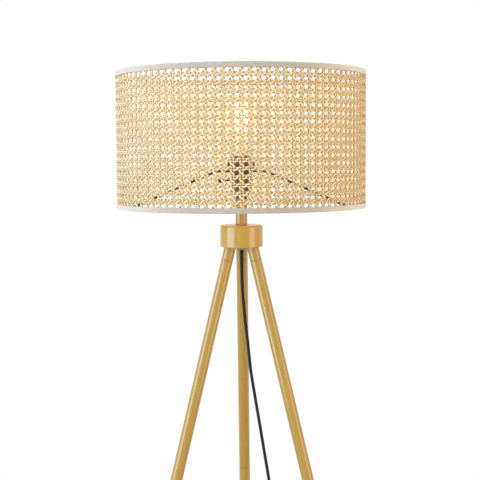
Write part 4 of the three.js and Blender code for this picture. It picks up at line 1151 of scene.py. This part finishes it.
lead_route = [(0.158, 0.0996, 0.0084), (0.143, 0.1006, 0.0056), (0.127, 0.101, 0.0035), (0.111, 0.1006, 0.0036),
              (0.096, 0.0996, 0.006), (0.085, 0.099, 0.0078)]
coil_start = coil_points[0] - coil_entry * 2 * cord_radius
coil_end = coil_points[-1] + coil_leave * 2 * cord_radius
plug_tip = Vector((0.074, coil_points[-1].y, 0.0082))
drop = smooth_route([Vector((0, 0, cord_exit)), *[Vector(point) for point in drop_route],
                     coil_start - coil_entry * 2 * cord_radius, coil_start])
lead = smooth_route([coil_end, coil_end + coil_leave * 2 * cord_radius, *[Vector(point) for point in lead_route],
                     plug_tip])
cord_path = [point + stem_axis for point in drop + coil_points + lead]

black_vinyl, tree, shader = new_material("extruded black vinyl", "#161616", 0.55)
vinyl_map = add_node(tree, "ShaderNodeUVMap", uv_map="UVMap").outputs[0]
drag_map = add_node(tree, "ShaderNodeMapping", {"Vector": vinyl_map, "Scale": (1 / 0.02, 1 / 0.0004, 1.0)})
drag_marks = add_node(tree, "ShaderNodeTexNoise", {"Vector": drag_map.outputs[0], "Scale": 1.0, "Detail": 2.0})
vinyl_tone = add_node(tree, "ShaderNodeMix", {
    "Factor": drag_marks.outputs[0], 6: linear("#121112"), 7: linear("#1d1c1c")}, data_type="RGBA")
vinyl_sheen = add_node(tree, "ShaderNodeMapRange", {"Value": drag_marks.outputs[0], "To Min": 0.42, "To Max": 0.58})
set_inputs(shader, {
    "Specular IOR Level": 0.3, "Base Color": vinyl_tone.outputs[2], "Roughness": vinyl_sheen.outputs[0]})
cord = swept(cord_path, [cord_radius] * len(cord_path), cord_sides)
cord_piece = add_piece("supply_cord", cord, black_vinyl, "stand", "black_vinyl", "cord_drop", "cord_coil",
                       "cord_lead", place=Matrix())
coat_nodes(moulded_rubber, "inner_lead")

# Tie: a flat band of the cord's black vinyl, closed round all the strands of the coil. It keeps the coil together,
# and has softly rounded corners and edges.
tie_low, tie_high = heights("cord_tie")
tie_turn, tie_inner_turn = 0.625, 0.5
tie_width = 0.007
tie_thickness = 0.001
tie_slack = 0.0006
tie_inner_radius = coil_inner + coil_pitch * tie_inner_turn - cord_radius - tie_slack
tie_outer_radius = coil_outer - coil_pitch * tie_turn + cord_radius + tie_slack
tie_corner = 0.0028
tie_edge_round = 0.0002


def tie_ring(grow, aside):
    """The band's rounded loop across the coil, grown outwards and set aside along the coil."""
    low = tie_low + tie_thickness - grow
    high = tie_high - tie_thickness + grow
    return [(out, aside, height) for out, height in rounded([
        (tie_inner_radius - grow, low, tie_corner), (tie_outer_radius + grow, low, tie_corner),
        (tie_outer_radius + grow, high, tie_corner), (tie_inner_radius - grow, high, tie_corner)], steps=6)]


near_side, far_side = -tie_width / 2, tie_width / 2
shape = skin([tie_ring(0, near_side), tie_ring(tie_thickness, near_side), tie_ring(tie_thickness, far_side),
              tie_ring(0, far_side)], closed=True)
bmesh.ops.bevel(shape, geom=[edge for edge in shape.edges if edge.calc_face_angle(0) > 1.2],
                offset=tie_edge_round, segments=2, affect="EDGES")
tie = mesh_of(shape)
tie.uv_layers.new(name="UVMap")
add_piece("coil_tie_band", tie, black_vinyl, "stand", "black_vinyl", "cord_tie",
          place=Matrix.Translation(stem_axis + coil_centre) @ Matrix.Rotation(2 * math.pi * tie_turn, 4, "Z"))

# Plug: moulded vinyl over two flat brass blades, with finger grips on its sides and a ribbed, tapered strain relief
# where the cord comes out. It lies on its flat side, beside the coil.
plug_width = 0.026
plug_height = 0.016
plug_length = 0.03
plug_rounding = 0.003
plug_end_round = 0.0014
plug_corner_steps = 5
plug_stations = [(0.0, 0.62, 0.9), (0.25, 0.74, 1.0), (0.5, 0.78, 1.0), (0.72, 0.93, 1.0), (0.86, 1.0, 1.0),
                 (1.0, 1.0, 1.0)]
relief_length = 0.025
relief_root_radius = 0.006
relief_tip_radius = 0.0035
relief_rings = 7
relief_steps = 8 * relief_rings
relief_groove = 0.0007
relief_sides = 32
lie_plug = Matrix.Translation(stem_axis + plug_tip) @ Matrix.Rotation(math.pi, 4, "Z")

plug_rings = []
for station, width_share, height_share in plug_stations:
    ring = []
    for corner in range(4):
        centre = Vector(((plug_width / 2 * width_share - plug_rounding) * (1 if corner in (0, 3) else -1),
                         (plug_height / 2 * height_share - plug_rounding) * (1 if corner in (0, 1) else -1)))
        for step in range(plug_corner_steps + 1):
            angle = math.pi / 2 * (corner + step / plug_corner_steps)
            ring.append((relief_length + station * plug_length, centre.x + plug_rounding * math.cos(angle),
                         centre.y + plug_rounding * math.sin(angle)))
    plug_rings.append(ring)
shape = skin(plug_rings)
end_edges = [edge for edge in shape.edges if any(len(face.verts) > 4 for face in edge.link_faces)]
bmesh.ops.bevel(shape, geom=end_edges, offset=plug_end_round, segments=4, affect="EDGES", profile=0.5)
relief_points = []
relief_radii = []
for step in range(relief_steps + 1):
    share = step / relief_steps
    groove = (0.5 - 0.5 * math.cos(2 * math.pi * share * relief_rings)) * (0 < share < 1)
    relief_points.append(Vector((share * (relief_length + 0.001), 0, 0)))
    relief_radii.append(relief_tip_radius + (relief_root_radius - relief_tip_radius) * share
                        - relief_groove * groove)
plug = cut_with(mesh_of(shape), swept(relief_points, relief_radii, relief_sides), "UNION")
plug_piece = add_piece("plug_moulded_body", plug, black_vinyl, "stand", "black_vinyl", "plug_body", place=lie_plug,
                       sharp_degrees=50)

blade_width = 0.00635
blade_thickness = 0.00152
blade_edge_round = 0.0002
blade_length = 0.017
blade_spacing = 0.0127
blade_hole_radius = 0.0016
blade_hole_share = 0.72
hole_reach = 0.003
hole_sides = 32
blade_front = relief_length + plug_length + 0.0003
blade_outline = [(0, -0.5), (0.9, -0.5), (1.0, -0.28), (1.0, 0.28), (0.9, 0.5), (0, 0.5)]
for side, name in ((1, "left"), (-1, "right")):
    middle = side * blade_spacing / 2
    shape = skin([[(blade_front + share * blade_length, middle + aside, width * blade_width)
                   for share, width in blade_outline] for aside in (-blade_thickness / 2, blade_thickness / 2)])
    bmesh.ops.bevel(shape, geom=list(shape.edges), offset=blade_edge_round, segments=2, affect="EDGES")
    hole = turned([(0, -hole_reach), (blade_hole_radius, -hole_reach), (blade_hole_radius, hole_reach),
                   (0, hole_reach)], hole_sides)
    hole.transform(Matrix.Translation((blade_front + blade_length * blade_hole_share, middle, 0))
                   @ Matrix.Rotation(math.pi / 2, 4, "X"))
    add_piece(f"plug_{name}_blade", cut_with(mesh_of(shape), hole), sprung_brass, "stand",
                                  "brass", f"plug_blade_{name}", place=lie_plug)
